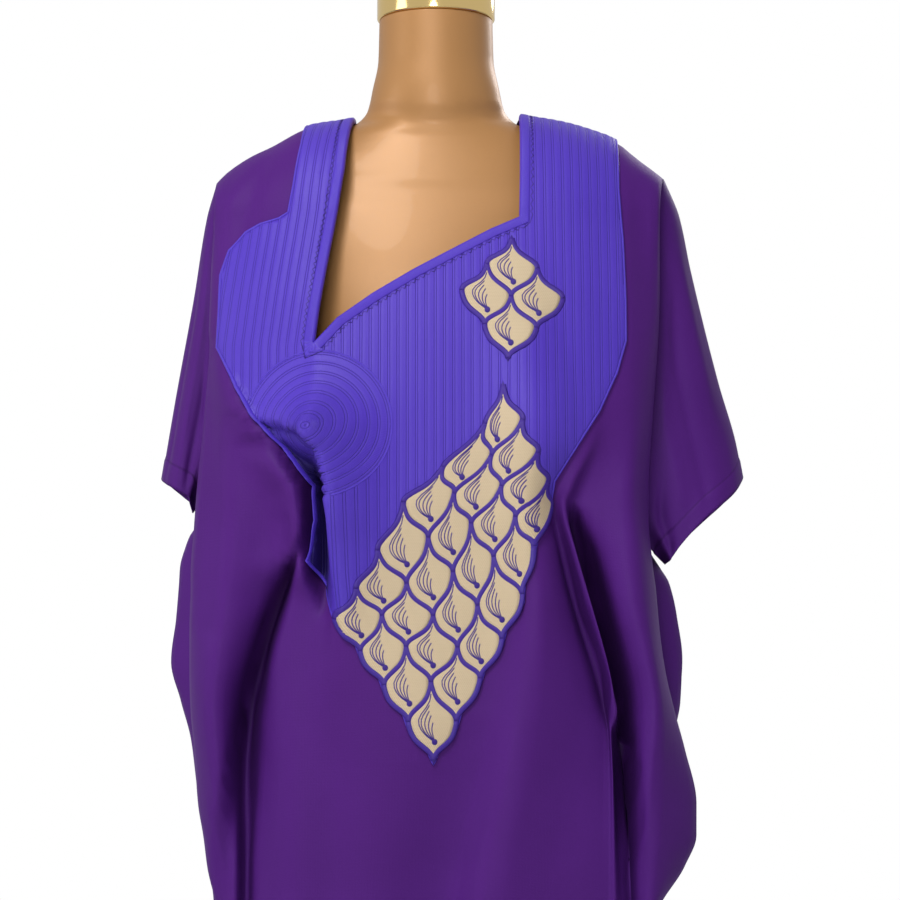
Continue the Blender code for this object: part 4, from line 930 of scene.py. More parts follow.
class Finish:
    """One material and the tools that lay its nodes."""

    def __init__(self, name, colour, rough, metal=0.0, sheen=0.0, coat=0.0, gloss=0.5):
        self.made = bpy.data.materials.new(name)
        self.made.use_nodes = True
        self.tree = self.made.node_tree
        self.shader = self.tree.nodes["Principled BSDF"]
        self.set("Base Color", (*colour, 1.0))
        self.set("Roughness", rough)
        self.set("Metallic", metal)
        self.set("Coat Weight", coat)
        self.set("Specular IOR Level", gloss)
        if sheen:
            self.set("Sheen Weight", sheen)
            self.set("Sheen Roughness", 0.4)
            self.set("Sheen Tint", (*[min(1.0, c * 2.5 + 0.05) for c in colour], 1.0))

    def set(self, socket, value):
        """Set a socket of the shader to a number, a colour or a linked value."""
        if isinstance(value, Value):
            self.tree.links.new(value.socket, self.shader.inputs[socket])
        else:
            self.shader.inputs[socket].default_value = value

    def node(self, kind, settings, *values, out=0, **named):
        """Add one node with its settings and the values of its sockets."""
        made = self.tree.nodes.new(kind)
        for key, value in settings.items():
            setattr(made, key, value)
        pairs = list(enumerate(values)) + list(named.items())
        for key, value in pairs:
            socket = made.inputs[key]
            if isinstance(value, Value):
                self.tree.links.new(value.socket, socket)
            elif value is not None:
                socket.default_value = value
        return Value(self, made.outputs[out])

    def place(self):
        """Object coordinates in metres."""
        return self.node("ShaderNodeTexCoord", {}, out="Object")

    def chart(self, title):
        """Two coordinates of a named UV map."""
        both = self.node("ShaderNodeUVMap", {"uv_map": title})
        return self.split(both)

    def split(self, vector):
        """Split a vector into its parts."""
        first = self.node("ShaderNodeSeparateXYZ", {}, vector)
        outputs = first.socket.node.outputs
        return [Value(self, outputs[k]) for k in range(3)]

    def noise(self, scale, detail=2.0, vector=None):
        """Soft random value around a half."""
        vector = vector or self.place()
        return self.node("ShaderNodeTexNoise", {}, Vector=vector, Scale=scale, Detail=detail)

    def mix(self, share, first, second):
        """Blend two colours."""
        first = first if isinstance(first, Value) else (*first, 1.0)
        second = second if isinstance(second, Value) else (*second, 1.0)
        made = self.tree.nodes.new("ShaderNodeMix")
        made.data_type = "RGBA"
        for place, value in ((0, share), (6, first), (7, second)):
            if isinstance(value, Value):
                self.tree.links.new(value.socket, made.inputs[place])
            else:
                made.inputs[place].default_value = value
        return Value(self, made.outputs[2])

    def painted_fold_shade(self, reach, full_painted_shade=0.12, open_air=0.82):
        """Painted shade mask: nought in deep folds and one in the open, from occlusion looking a
        distance round.
        """
        seen = self.node("ShaderNodeAmbientOcclusion", {"samples": 8}, Distance=reach, out="AO")
        return seen.above(full_painted_shade, open_air)

    def raise_by(self, height, strength, distance):
        """Feed a height to the shader's normal."""
        self.set("Normal", self.node("ShaderNodeBump", {}, Strength=strength,
                                     Distance=distance, Height=height))


class RobeSizes(bpy.types.PropertyGroup):
    """Sizes of the robe that can be changed."""

    cloth: bpy.props.FloatProperty(
        name="Cloth", description="Thickness of the robe's cloth in millimetres",
        default=1.2, min=0.5, max=1.4)
    rib: bpy.props.FloatProperty(
        name="Rib height", description="How far the cords of the yoke stand up, in millimetres",
        default=0.75, min=0.0, max=0.9)
    border: bpy.props.FloatProperty(
        name="Leaf border", description="Width of the satin line between leaves, in millimetres",
        default=4.8, min=1.0, max=6.0)
    dot: bpy.props.FloatProperty(
        name="Leaf dot", description="Radius of the stitched dot in a leaf, in millimetres",
        default=2.4, min=0.5, max=3.0)


def colour_setting(title, use, value):
    """Return the setting of one colour."""
    return bpy.props.FloatVectorProperty(name=title, description="Colour of " + use,
                                         subtype="COLOR", default=value, min=0.0, max=1.0)


class RobeColours(bpy.types.PropertyGroup):
    """Colours of the robe and of its display stand."""

    purple: colour_setting("Robe", "the robe's crepe", (0.102, 0.0185, 0.24))
    violet: colour_setting("Yoke", "the corded yoke", (0.088, 0.038, 0.58))
    cream: colour_setting("Leaves", "the leaf cloth", (0.90, 0.73, 0.50))
    thread: colour_setting("Thread", "the satin lines and veins", (0.042, 0.014, 0.25))
    torso: colour_setting("Torso", "the painted torso", (0.52, 0.255, 0.088))
    gold: colour_setting("Cap", "the polished neck cap", (0.88, 0.64, 0.27))
    steel: colour_setting("Stand", "the pole and the base", (0.42, 0.41, 0.40))


class StageSettings(bpy.types.PropertyGroup):
    """Camera and light."""

    camera: bpy.props.FloatVectorProperty(
        name="Camera", description="Place of the camera", subtype="TRANSLATION",
        default=(0.0123, -1.6, 1.159), unit="LENGTH")
    lens: bpy.props.FloatProperty(
        name="Lens", description="Focal length in millimetres", default=72.88, min=20.0)
    light: bpy.props.FloatProperty(
        name="Light", description="Power of the main light in watts", default=33.0, min=0.0)
    sky: bpy.props.FloatProperty(
        name="Sky", description="Strength of the light from all round", default=0.16, min=0.0)


def sizes():
    """Return the robe's sizes."""
    return bpy.context.scene.robe_sizes


def colours():
    """Return the robe's colours."""
    return bpy.context.scene.robe_colours


def crepe_ground(name, low, high):
    """Start a smooth satin-backed crepe, and return its finish, noises, shades and chart."""
    colour = tuple(colours().purple)
    finish = Finish(name, colour, 0.5, sheen=0.05, gloss=0.12)
    across, along, _ = finish.chart("cloth")
    cloud, grain = finish.noise(9.0, 3.0), finish.noise(900.0, 2.0)
    deep = tuple(c * low for c in colour)
    light = tuple(min(1.0, c * high) for c in colour)
    finish.set("Roughness", 0.46 + cloud * 0.08 + grain * 0.08)
    return finish, cloud * 0.8 + grain * 0.35 - 0.07, grain, (deep, light), (across, along)


def crepe_colour(finish, shade, shades):
    """Colour a crepe between its shades, with painted shade darkening it in its folds."""
    # Painted shade: the crepe is darkened towards a deep purple where folds close round it
    full_painted_shade = tuple(c * 0.28 for c in colours().purple)
    finish.set("Base Color", finish.mix(finish.painted_fold_shade(0.045), full_painted_shade,
                                        finish.mix(shade.capped(), *shades)))


def crepe(name="robe crepe"):
    """The robe's crepe, with a fine weave and the stitch line of the hem."""
    if name in bpy.data.materials:
        return bpy.data.materials[name]
    finish, shade, grain, shades, (across, along) = crepe_ground(name, 0.78, 1.16)
    crepe_colour(finish, shade, shades)
    hem = abs(along - (HEM + 22.0) * 0.001).above(0.0011, 0.0004)
    stitch = ((across * 420.0) % 1.0).above(0.25, 0.45)
    weave = (across * 5200.0).sine() * 0.25 + (along * 5200.0).sine() * 0.25
    finish.raise_by(grain * 0.6 + weave * 0.3 - hem * stitch * 2.5, 0.35, 0.0005)
    return finish.made


def crepe_sleeve(name="sleeve crepe"):
    """The robe's crepe with the stitch line of a sleeve hem."""
    if name in bpy.data.materials:
        return bpy.data.materials[name]
    finish, shade, grain, shades, (across, along) = crepe_ground(name, 0.74, 1.12)
    seam = abs(along - SLEEVE_BAND * 0.001).above(0.0016, 0.0004)
    crepe_colour(finish, shade - seam * 0.5, shades)
    stitch = ((across * 520.0) % 1.0).above(0.25, 0.45)
    finish.raise_by(grain * 0.6 - seam * 1.4 + seam * stitch * 1.2, 0.4, 0.0005)
    return finish.made


def corded(name="corded satin"):
    """Violet satin sewn into cords, with a double line of stitches between them and painted shade
    in its folds.
    """
    if name in bpy.data.materials:
        return bpy.data.materials[name]
    colour = tuple(colours().violet)
    finish = Finish(name, colour, 0.42, sheen=0.08, gloss=0.35)
    rib, along, _ = finish.chart("ribs")
    phase = rib % 1.0
    first = abs(phase - 0.06).above(0.055, 0.012)
    second = abs(phase - 0.30).above(0.055, 0.012)
    beat = ((along * 1000.0 / 1.7) % 1.0).above(0.2, 0.5)
    lines = (first + second).capped()
    stitched = lines * (beat * 0.45 + 0.55)
    cloud = finish.noise(14.0, 3.0)
    grain = finish.noise(1500.0, 2.0)
    deep = tuple(c * 0.42 for c in colour)
    pale = (min(1.0, colour[0] * 1.35), min(1.0, colour[1] * 1.5), min(1.0, colour[2] * 1.12))
    body = finish.mix((cloud * 0.7 + grain * 0.5 - 0.1).capped(), colour, pale)
    # Painted shade: the yoke is darkened in its folds and pockets, where occlusion is high
    full_painted_shade = tuple(c * 0.16 for c in colour)
    finish.set("Base Color", finish.mix(finish.painted_fold_shade(0.06, 0.30, 0.86), full_painted_shade,
                                        finish.mix(stitched * 0.55, body, deep)))
    finish.set("Roughness", 0.38 + grain * 0.12 + lines * 0.15)
    threads = (along * 1000.0 * 6.283 / 0.9).sine() * 0.12
    finish.raise_by(grain * 0.5 + threads - stitched * 1.6, 0.6, 0.0005)
    return finish.made


def satin(name, colour, gloss=0.4):
    """Satin stitches lying side by side across a line."""
    if name in bpy.data.materials:
        return bpy.data.materials[name]
    finish = Finish(name, colour, 0.38, sheen=0.2, gloss=gloss)
    along, across, _ = finish.chart("line")
    lay = (along * 6.283 / 0.00075 + across * 9.0).sine()
    grain = finish.noise(1800.0, 1.0)
    lighter = (min(1.0, colour[0] * 1.7), min(1.0, colour[1] * 1.9), min(1.0, colour[2] * 1.5))
    finish.set("Base Color", finish.mix((lay * 0.22 + grain * 0.5).capped(), colour, lighter))
    finish.set("Roughness", 0.34 + grain * 0.15)
    finish.raise_by(lay * 0.5 + grain * 0.3, 0.5, 0.0003)
    return finish.made


def leaf_cloth(name="leaf cloth"):
    """Cream cloth covered with short straight stitches in rows."""
    if name in bpy.data.materials:
        return bpy.data.materials[name]
    colour = tuple(colours().cream)
    finish = Finish(name, colour, 0.72, sheen=0.15, gloss=0.25)
    across, along, _ = finish.chart("cloth")
    rows = along * 1000.0 / 1.15
    line = abs(rows % 1.0 - 0.5).above(0.22, 0.46)
    offset = (rows - rows % 1.0) * 0.37
    column = abs((across * 1000.0 / 1.7 + offset) % 1.0 - 0.5).above(0.28, 0.48)
    grain = finish.noise(1300.0, 2.0)
    cloud = finish.noise(60.0, 2.0)
    marks = (line * 0.55 + column * 0.65).capped()
    deep = tuple(c * k for c, k in zip(colour, (0.66, 0.58, 0.48)))
    pale = tuple(min(1.0, c * 1.08) for c in colour)
    body = finish.mix((cloud * 0.6 + grain * 0.5).capped(), tuple(c * 0.94 for c in colour), pale)
    finish.set("Base Color", finish.mix(marks * 0.9, body, deep))
    finish.set("Roughness", 0.66 + grain * 0.14)
    finish.raise_by(grain * 0.4 - marks * 0.9, 0.6, 0.0004)
    return finish.made


def torso_paint(name="torso paint"):
    """Satin gold-tan paint with a fine metallic flake."""
    colour = tuple(colours().torso)
    finish = Finish(name, colour, 0.42, metal=0.15, coat=0.05)
    flake = finish.noise(2600.0, 1.0)
    fine = finish.noise(700.0, 2.0)
    cloud = finish.noise(6.0, 2.0)
    deep = tuple(c * 0.86 for c in colour)
    pale = tuple(min(1.0, c * 1.14) for c in colour)
    finish.set("Base Color", finish.mix((flake * 0.7 + cloud * 0.5 - 0.1).capped(), deep, pale))
    finish.set("Roughness", 0.38 + fine * 0.10)
    finish.set("Metallic", flake.above(0.35, 0.75) * 0.25 + 0.06)
    finish.raise_by(flake, 0.12, 0.0002)
    return finish.made


def polished(name, colour, rough, brushed):
    """Metal, polished or finely brushed round its axis."""
    finish = Finish(name, colour, rough, metal=1.0)
    _, _, up = finish.split(finish.place())
    cloud = finish.noise(25.0, 2.0)
    lines = finish.noise(1.0, 2.0, finish.node(
        "ShaderNodeCombineXYZ", {}, 0.0, 0.0, up * 2400.0))
    finish.set("Roughness", rough + cloud * 0.06 + lines * brushed)
    finish.set("Base Color", finish.mix(cloud, tuple(c * 0.93 for c in colour), colour))
    finish.raise_by(lines, 0.05 + brushed * 0.4, 0.0002)
    return finish.made


# Draped panels, kept once they are worked out
DRAPES = {}


def drape(facing):
    """Return the front or back panel's draped surface, worked out once."""
    if facing not in DRAPES:
        tables = {"front": (FRONT_X, FRONT_DEPTH, FRONT_CREASES),
                  "back": (BACK_X, BACK_DEPTH, BACK_CREASES)}[facing]
        DRAPES[facing] = Drape(facing, *tables)
    return DRAPES[facing]


def top_edge(start, end, step=5.0):
    """Flat points along the shoulder line between two places."""
    count = max(2, round(abs(end - start) / step))
    return [(start + (end - start) * k / count, TOP) for k in range(1, count)]


def panel_sheet(name, panel, neck, flip):
    """Make one body panel as a thin wall."""
    left, right = panel.seam("left"), panel.seam("right")
    hem = [(float(x), HEM) for x in panel.flat[-1, 4:-4:3]]
    boundary = left[::-1] + top_edge(left[0][0], neck[0][0]) + neck
    boundary += top_edge(neck[-1][0], right[0][0]) + right + hem[::-1]
    flats, faces = cut(boundary, panel.net(NET_SKIP), NET_MARGIN)
    spots = panel.place(flats)
    if flip:
        faces = faces[:, ::-1]
    piece = make_piece(name, spots, faces, crepe(), {"cloth": flats * 0.001})
    thicken(piece, sizes().cloth)
    return piece


def strip(name, panel, line, base, width, height, finish, sides=5):
    """Lay a rounded strip along a flat line on a panel.

    Base is the height of its underside over the panel, one number or one a point.
    """
    line = np.asarray(line, float)
    way = unit(np.gradient(line, axis=0))
    side = np.stack((way[:, 1], -way[:, 0]), -1)
    base = np.broadcast_to(base, (len(line),))
    rings = []
    for k in range(sides):
        angle = math.pi * k / (sides - 1)
        shift = math.cos(angle) * width / 2
        rings.append(panel.place(line + side * shift, base + math.sin(angle) * height))
    rings.append(panel.place(line, base - 0.15))
    count = sides + 1
    spots = np.stack(rings, 1).reshape(-1, 3)
    chart = [(run * 0.001, k / sides) for run in lengths(line) for k in range(count)]
    faces = grid_faces(len(line), count, True)
    faces.append(tuple(range(count)))
    faces.append(tuple((len(line) - 1) * count + k for k in range(count))[::-1])
    return make_piece(name, spots, faces, finish, {"line": chart})


def rib_number(flats):
    """Count of ribs across the yoke, which lean with the neck above its point."""
    flats = np.asarray(flats, float)
    point_x, point_drop = NECK[6]
    lean = CORD_LEAN * np.maximum(flats[:, 1] - point_drop, 0.0)
    lean = np.where(flats[:, 0] - lean < point_x + 2.0, lean, 0.0)
    return (flats[:, 0] - point_x - lean) / RIB_PITCH


def ring_number(flats):
    """Count of rings round the left cup."""
    return np.linalg.norm(np.asarray(flats, float) - RING_CENTRE, axis=1) / RING_PITCH


def in_rings(flats):
    """Tell which flat points lie in the ringed part of the yoke."""
    return ring_number(flats) * RING_PITCH < RING_RADIUS


def cord_rise(flats, borders):
    """Height of the sewn cords over the plain yoke."""
    count = np.where(in_rings(flats), ring_number(flats) * 1.0, rib_number(flats))
    rise = np.abs(np.sin(np.pi * (count - 0.06))) ** 0.45
    for border in borders:
        rise = np.where(inside(flats, border), 0.0, rise)
    return rise * sizes().rib


def leaf_groups():
    """Tables and sizes of the two groups of leaves."""
    return (("leaf_lattice", LATTICE, LATTICE_ROWS, LATTICE_COLUMNS),
            ("leaf_cluster", CLUSTER, 2, 2))


class ROBE_OT_front(bpy.types.Operator):
    """Make the front panel."""

    bl_idname = "robe.front"
    bl_label = "Front panel"

    def execute(self, context):
        """Make the piece."""
        neck = even_line(neck_line(), 3)
        piece = panel_sheet("front_cloth", drape("front"), neck, False)
        hang(piece, "robe_cloth", "front")
        return {"FINISHED"}


class ROBE_OT_back(bpy.types.Operator):
    """Make the back panel."""

    bl_idname = "robe.back"
    bl_label = "Back panel"

    def execute(self, context):
        """Make the piece."""
        neck = even_line(BACK_NECK[1:], 4)
        piece = panel_sheet("back_cloth", drape("back"), neck, True)
        hang(piece, "robe_cloth", "back")
        return {"FINISHED"}


class ROBE_OT_sleeves(bpy.types.Operator):
    """Make both sleeves with their turned hems."""

    bl_idname = "robe.sleeves"
    bl_label = "Sleeves"

    def sleeve(self, name):
        """Make one sleeve as a flat tube from the armhole to the hem."""
        sign = -1 if name == "left" else 1
        around, along = SLEEVE_AROUND, SLEEVE_ALONG
        fold = columns(SLEEVE_FOLD[name], "share", "x", "y", "height")
        hem = columns(SLEEVE_HEM[name], "share", "x", "y", "height")
        column = 0 if name == "left" else -1
        low = UNDERARM[name] + ARMHOLE_FOOT
        turns = np.arange(around) / around
        wave = (1 - np.cos(2 * np.pi * turns)) / 2
        drops = low + (TOP - ARMHOLE_HEAD - low) * (0.5 * wave + 0.5 * (1 - np.abs(2 * turns - 1)))
        start = np.empty((around, 3))
        for facing, picked in (("front", turns < 0.5), ("back", turns >= 0.5)):
            panel = drape(facing)
            for k in range(3):
                start[picked, k] = np.interp(-drops[picked], -panel.drops,
                                             panel.spots[:, column, k])
        start[:, 0] += sign * (SEAM_GAP + ARMHOLE_GAP
                               + ARMHOLE_FOOT_GAP * np.cos(np.pi * turns) ** 2)
        shift = np.where(turns < 0.5, ARMHOLE_SHIFT["front"], ARMHOLE_SHIFT["back"])
        start[:, 1] += shift * np.sin(np.pi * turns)
        end = np.stack([curve_values(hem[0], values, turns) for values in hem[1:]], -1)
        rows = np.linspace(0, 1, along)
        bends = np.stack([curve_values(fold[0], values, rows) for values in fold[1:]], -1)
        ends = np.stack([bends[0], bends[-1]])
        spots = []
        for b, bend in zip(rows, bends):
            bend = bend - ends[0] * (1 - b) - ends[1] * b
            weight = np.sin(np.pi * turns) ** 1.5
            spots.append(start * (1 - b) + end * b + bend * weight[:, None])
        spots = np.array(spots)
        ways = self.outward(spots, sign)
        move = np.zeros(spots.shape[:2])
        rounds, begins, stops, depths, widths = columns(
            SLEEVE_FOLDS[name], "round", "start", "end", "depth", "width")
        for at, begin, stop, depth, width in zip(rounds, begins, stops, depths, widths):
            reach = ease((rows - begin) / 0.25) * ease((stop - rows) / 0.25 + 0.4)
            move += depth * reach[:, None] * np.exp(-((turns - at) / width) ** 2)
        length = np.linalg.norm(spots[-1] - spots[0], axis=1)
        from_hem = (1 - rows)[:, None] * length
        move += SLEEVE_HEM_RISE * (1 - ease((from_hem - SLEEVE_BAND + 1.5) / 1.5))
        spots = spots + ways * move[..., None]
        tuck = spots[0].copy()
        tuck[:, 0] -= sign * SLEEVE_TUCK * np.sin(np.pi * turns)
        spots = np.concatenate((tuck[None], spots))
        from_hem = np.concatenate((from_hem[:1] + SLEEVE_TUCK, from_hem))
        chart = np.stack((np.broadcast_to(turns * 0.5, from_hem.shape), from_hem * 0.001), -1)
        faces = grid_faces(along + 1, around, True)
        if sign < 0:
            faces = [f[::-1] for f in faces]
        piece = make_piece("sleeve_%s_cloth" % name, spots.reshape(-1, 3), faces,
                           crepe_sleeve(), {"cloth": chart.reshape(-1, 2)})
        thicken(piece, sizes().cloth)
        return piece

    def outward(self, spots, sign):
        """Outward directions of the tube."""
        around = np.roll(spots, -1, 1) - np.roll(spots, 1, 1)
        along = np.gradient(spots, axis=0)
        return unit(np.cross(around, along) * sign * -1)

    def execute(self, context):
        """Make the pieces."""
        for name, flat in (("left", (0.62, 0.045)), ("right", (0.70, 0.066))):
            piece = self.sleeve(name)
            hang(piece, "robe_cloth", "sleeve_" + name)
        return {"FINISHED"}


class ROBE_OT_plastron(bpy.types.Operator):
    """Make the corded yoke with its rings and its stitched edge."""

    bl_idname = "robe.plastron"
    bl_label = "Corded yoke"

    def edge(self):
        """Free edge of the yoke, which follows the leaves round its lower point."""
        edge = plastron_edge_line()
        loop = leaf_border(LATTICE, LATTICE_ROWS, LATTICE_COLUMNS)
        right, left = loop[1 + 3 * LATTICE_ROWS], loop[-1 - 3 * LATTICE_COLUMNS]
        first = min(range(len(edge)), key=lambda i: math.dist(edge[i], right))
        last = min(range(len(edge)), key=lambda i: math.dist(edge[i], left))
        down = loop[1 + 3 * LATTICE_ROWS::-1]
        back = loop[:-2 - 3 * LATTICE_COLUMNS:-1]
        return edge[:first] + down + back + edge[last + 1:]

    def points(self):
        """Flat points on the crests, slopes and valleys of the cords."""
        point_x, point_drop = NECK[6]
        step = RIB_PITCH / 4
        points = []
        for drop in np.arange(TOP - 4, 896, -4.0):
            lean = CORD_LEAN * max(drop - point_drop, 0.0)
            x = point_x - 24 * RIB_PITCH
            points += [(x + k * step + lean, drop) for k in range(97)]
            x = point_x + step
            first = 0 if drop < point_drop else 1
            points += [(x + k * step, drop) for k in range(first, 148)]
        points = np.array(points)
        points = points[~in_rings(points)]
        rings = [RING_CENTRE]
        for radius in np.arange(RING_PITCH / 4, RING_RADIUS, RING_PITCH / 4):
            steps = max(8, round(radius * 1.6))
            rings += circle(RING_CENTRE, radius, steps)
        return np.concatenate((points, rings))

    def execute(self, context):
        """Make the pieces."""
        panel = drape("front")
        neck = even_line(neck_line(), 3)
        edge = even_line(self.edge(), 3)
        outline = neck + top_edge(neck[-1][0], edge[0][0], 3.8) + edge
        outline += top_edge(edge[-1][0], neck[0][0], 3.8)
        borders = [leaf_border(table, rows, across) for _, table, rows, across in leaf_groups()]
        points = self.points()
        keep = inside(points, outline)
        flats, faces = cut(outline, points[keep], 1.2)
        rise = cord_rise(flats, borders)
        edge_away = np.minimum(nearest(flats, edge)[0], nearest(flats, neck)[0])
        rise = rise * ease(edge_away / 3.0)
        spots = panel.place(flats, SEAM_GAP + PLASTRON_CLOTH + rise)
        piece = make_piece("plastron_cloth", spots, faces, corded(),
                           {"cloth": flats * 0.001, "ribs": self.rib_chart(flats, faces)})
        thicken(piece, 1.9)
        cord = strip("plastron_edge_stitch", panel, even_line(edge, 2.5),
                     SEAM_GAP + PLASTRON_CLOTH - 0.4, 2.2, 1.0,
                     satin("edge satin", tuple(colours().violet)))
        ring = circle(RING_CENTRE, RING_RADIUS, 120, range(*RING_STITCHED))
        on_yoke = inside(ring, outline) & (nearest(ring, outline)[0] > 2.0)
        ring = [spot for spot, shown in zip(ring, on_yoke) if shown]
        rings = strip("ring_stitch", panel, ring, SEAM_GAP + PLASTRON_CLOTH + 0.15, 1.6, 0.8,
                       satin("edge satin", tuple(colours().violet)))
        hang(piece, "plastron_cloth", "plastron")
        hang(cord, "plastron_cloth")
        hang(rings, "plastron_cloth")
        return {"FINISHED"}

    def rib_chart(self, flats, faces):
        """Rib number and drop of each face corner, by rings round the left cup."""
        middles = flats[faces].mean(1)
        ringed = in_rings(middles)
        corners = flats[faces]
        flat = corners.reshape(-1, 2)
        ribs = rib_number(flat)
        rings = ring_number(flat)
        number = np.where(np.repeat(ringed, 3), rings, ribs)
        turn = np.arctan2(flat[:, 1] - RING_CENTRE[1], flat[:, 0] - RING_CENTRE[0])
        along = np.where(np.repeat(ringed, 3), turn * 0.036, flat[:, 1] * 0.001)
        return np.stack((number + 100.0, along), -1)


class ROBE_OT_binding(bpy.types.Operator):
    """Make the bound neck edge with its zigzag stitches."""

    bl_idname = "robe.binding"
    bl_label = "Neck binding"

    def execute(self, context):
        """Make the pieces."""
        panel = drape("front")
        neck = even_line(neck_line(), 2.5)
        offset = SEAM_GAP + PLASTRON_CLOTH
        turned_in = inset_line(neck, -0.6)
        rows = [(turned_in, -2.2), (inset_line(neck, -1.0), -0.4),
                (inset_line(neck, -1.0), offset * 0.6)]
        for k in range(7):
            share = k / 6
            high = 0.5 * math.sin(math.pi * (0.12 + 0.88 * share)) ** 0.6 if share < 1 else 0.0
            rows.append((inset_line(neck, BINDING_WIDTH * share), offset + 0.7 + high))
        rows.append((inset_line(neck, BINDING_WIDTH - 0.4), offset - 0.6))
        rings = [panel.place(line, out) for line, out in rows]
        count = len(rows)
        spots = np.stack(rings, 1).reshape(-1, 3)
        chart = [(run * 0.001, k / (count - 1)) for run in lengths(neck) for k in range(count)]
        faces = [f[::-1] for f in grid_faces(len(neck), count)]
        finish = satin("binding satin", tuple(c * 0.95 for c in colours().violet))
        piece = make_piece("neck_binding_cloth", spots, faces, finish, {"line": chart})
        thicken(piece, 0.5)
        zigzag = []
        outer = np.array(inset_line(neck, BINDING_WIDTH + 2.6))
        inner = np.array(inset_line(neck, BINDING_WIDTH + 0.4))
        for i in range(1, len(neck) - 1):
            zigzag.append(tuple(outer[i] if i % 2 else inner[i]))
        stitch = strip("neck_zigzag", panel, even_line(zigzag, 1.6), offset + 0.55, 0.7, 0.35,
                       satin("stitch satin", tuple(colours().thread)), sides=4)
        hang(piece, "plastron_cloth", "neck_binding")
        hang(stitch, "plastron_cloth")
        return {"FINISHED"}


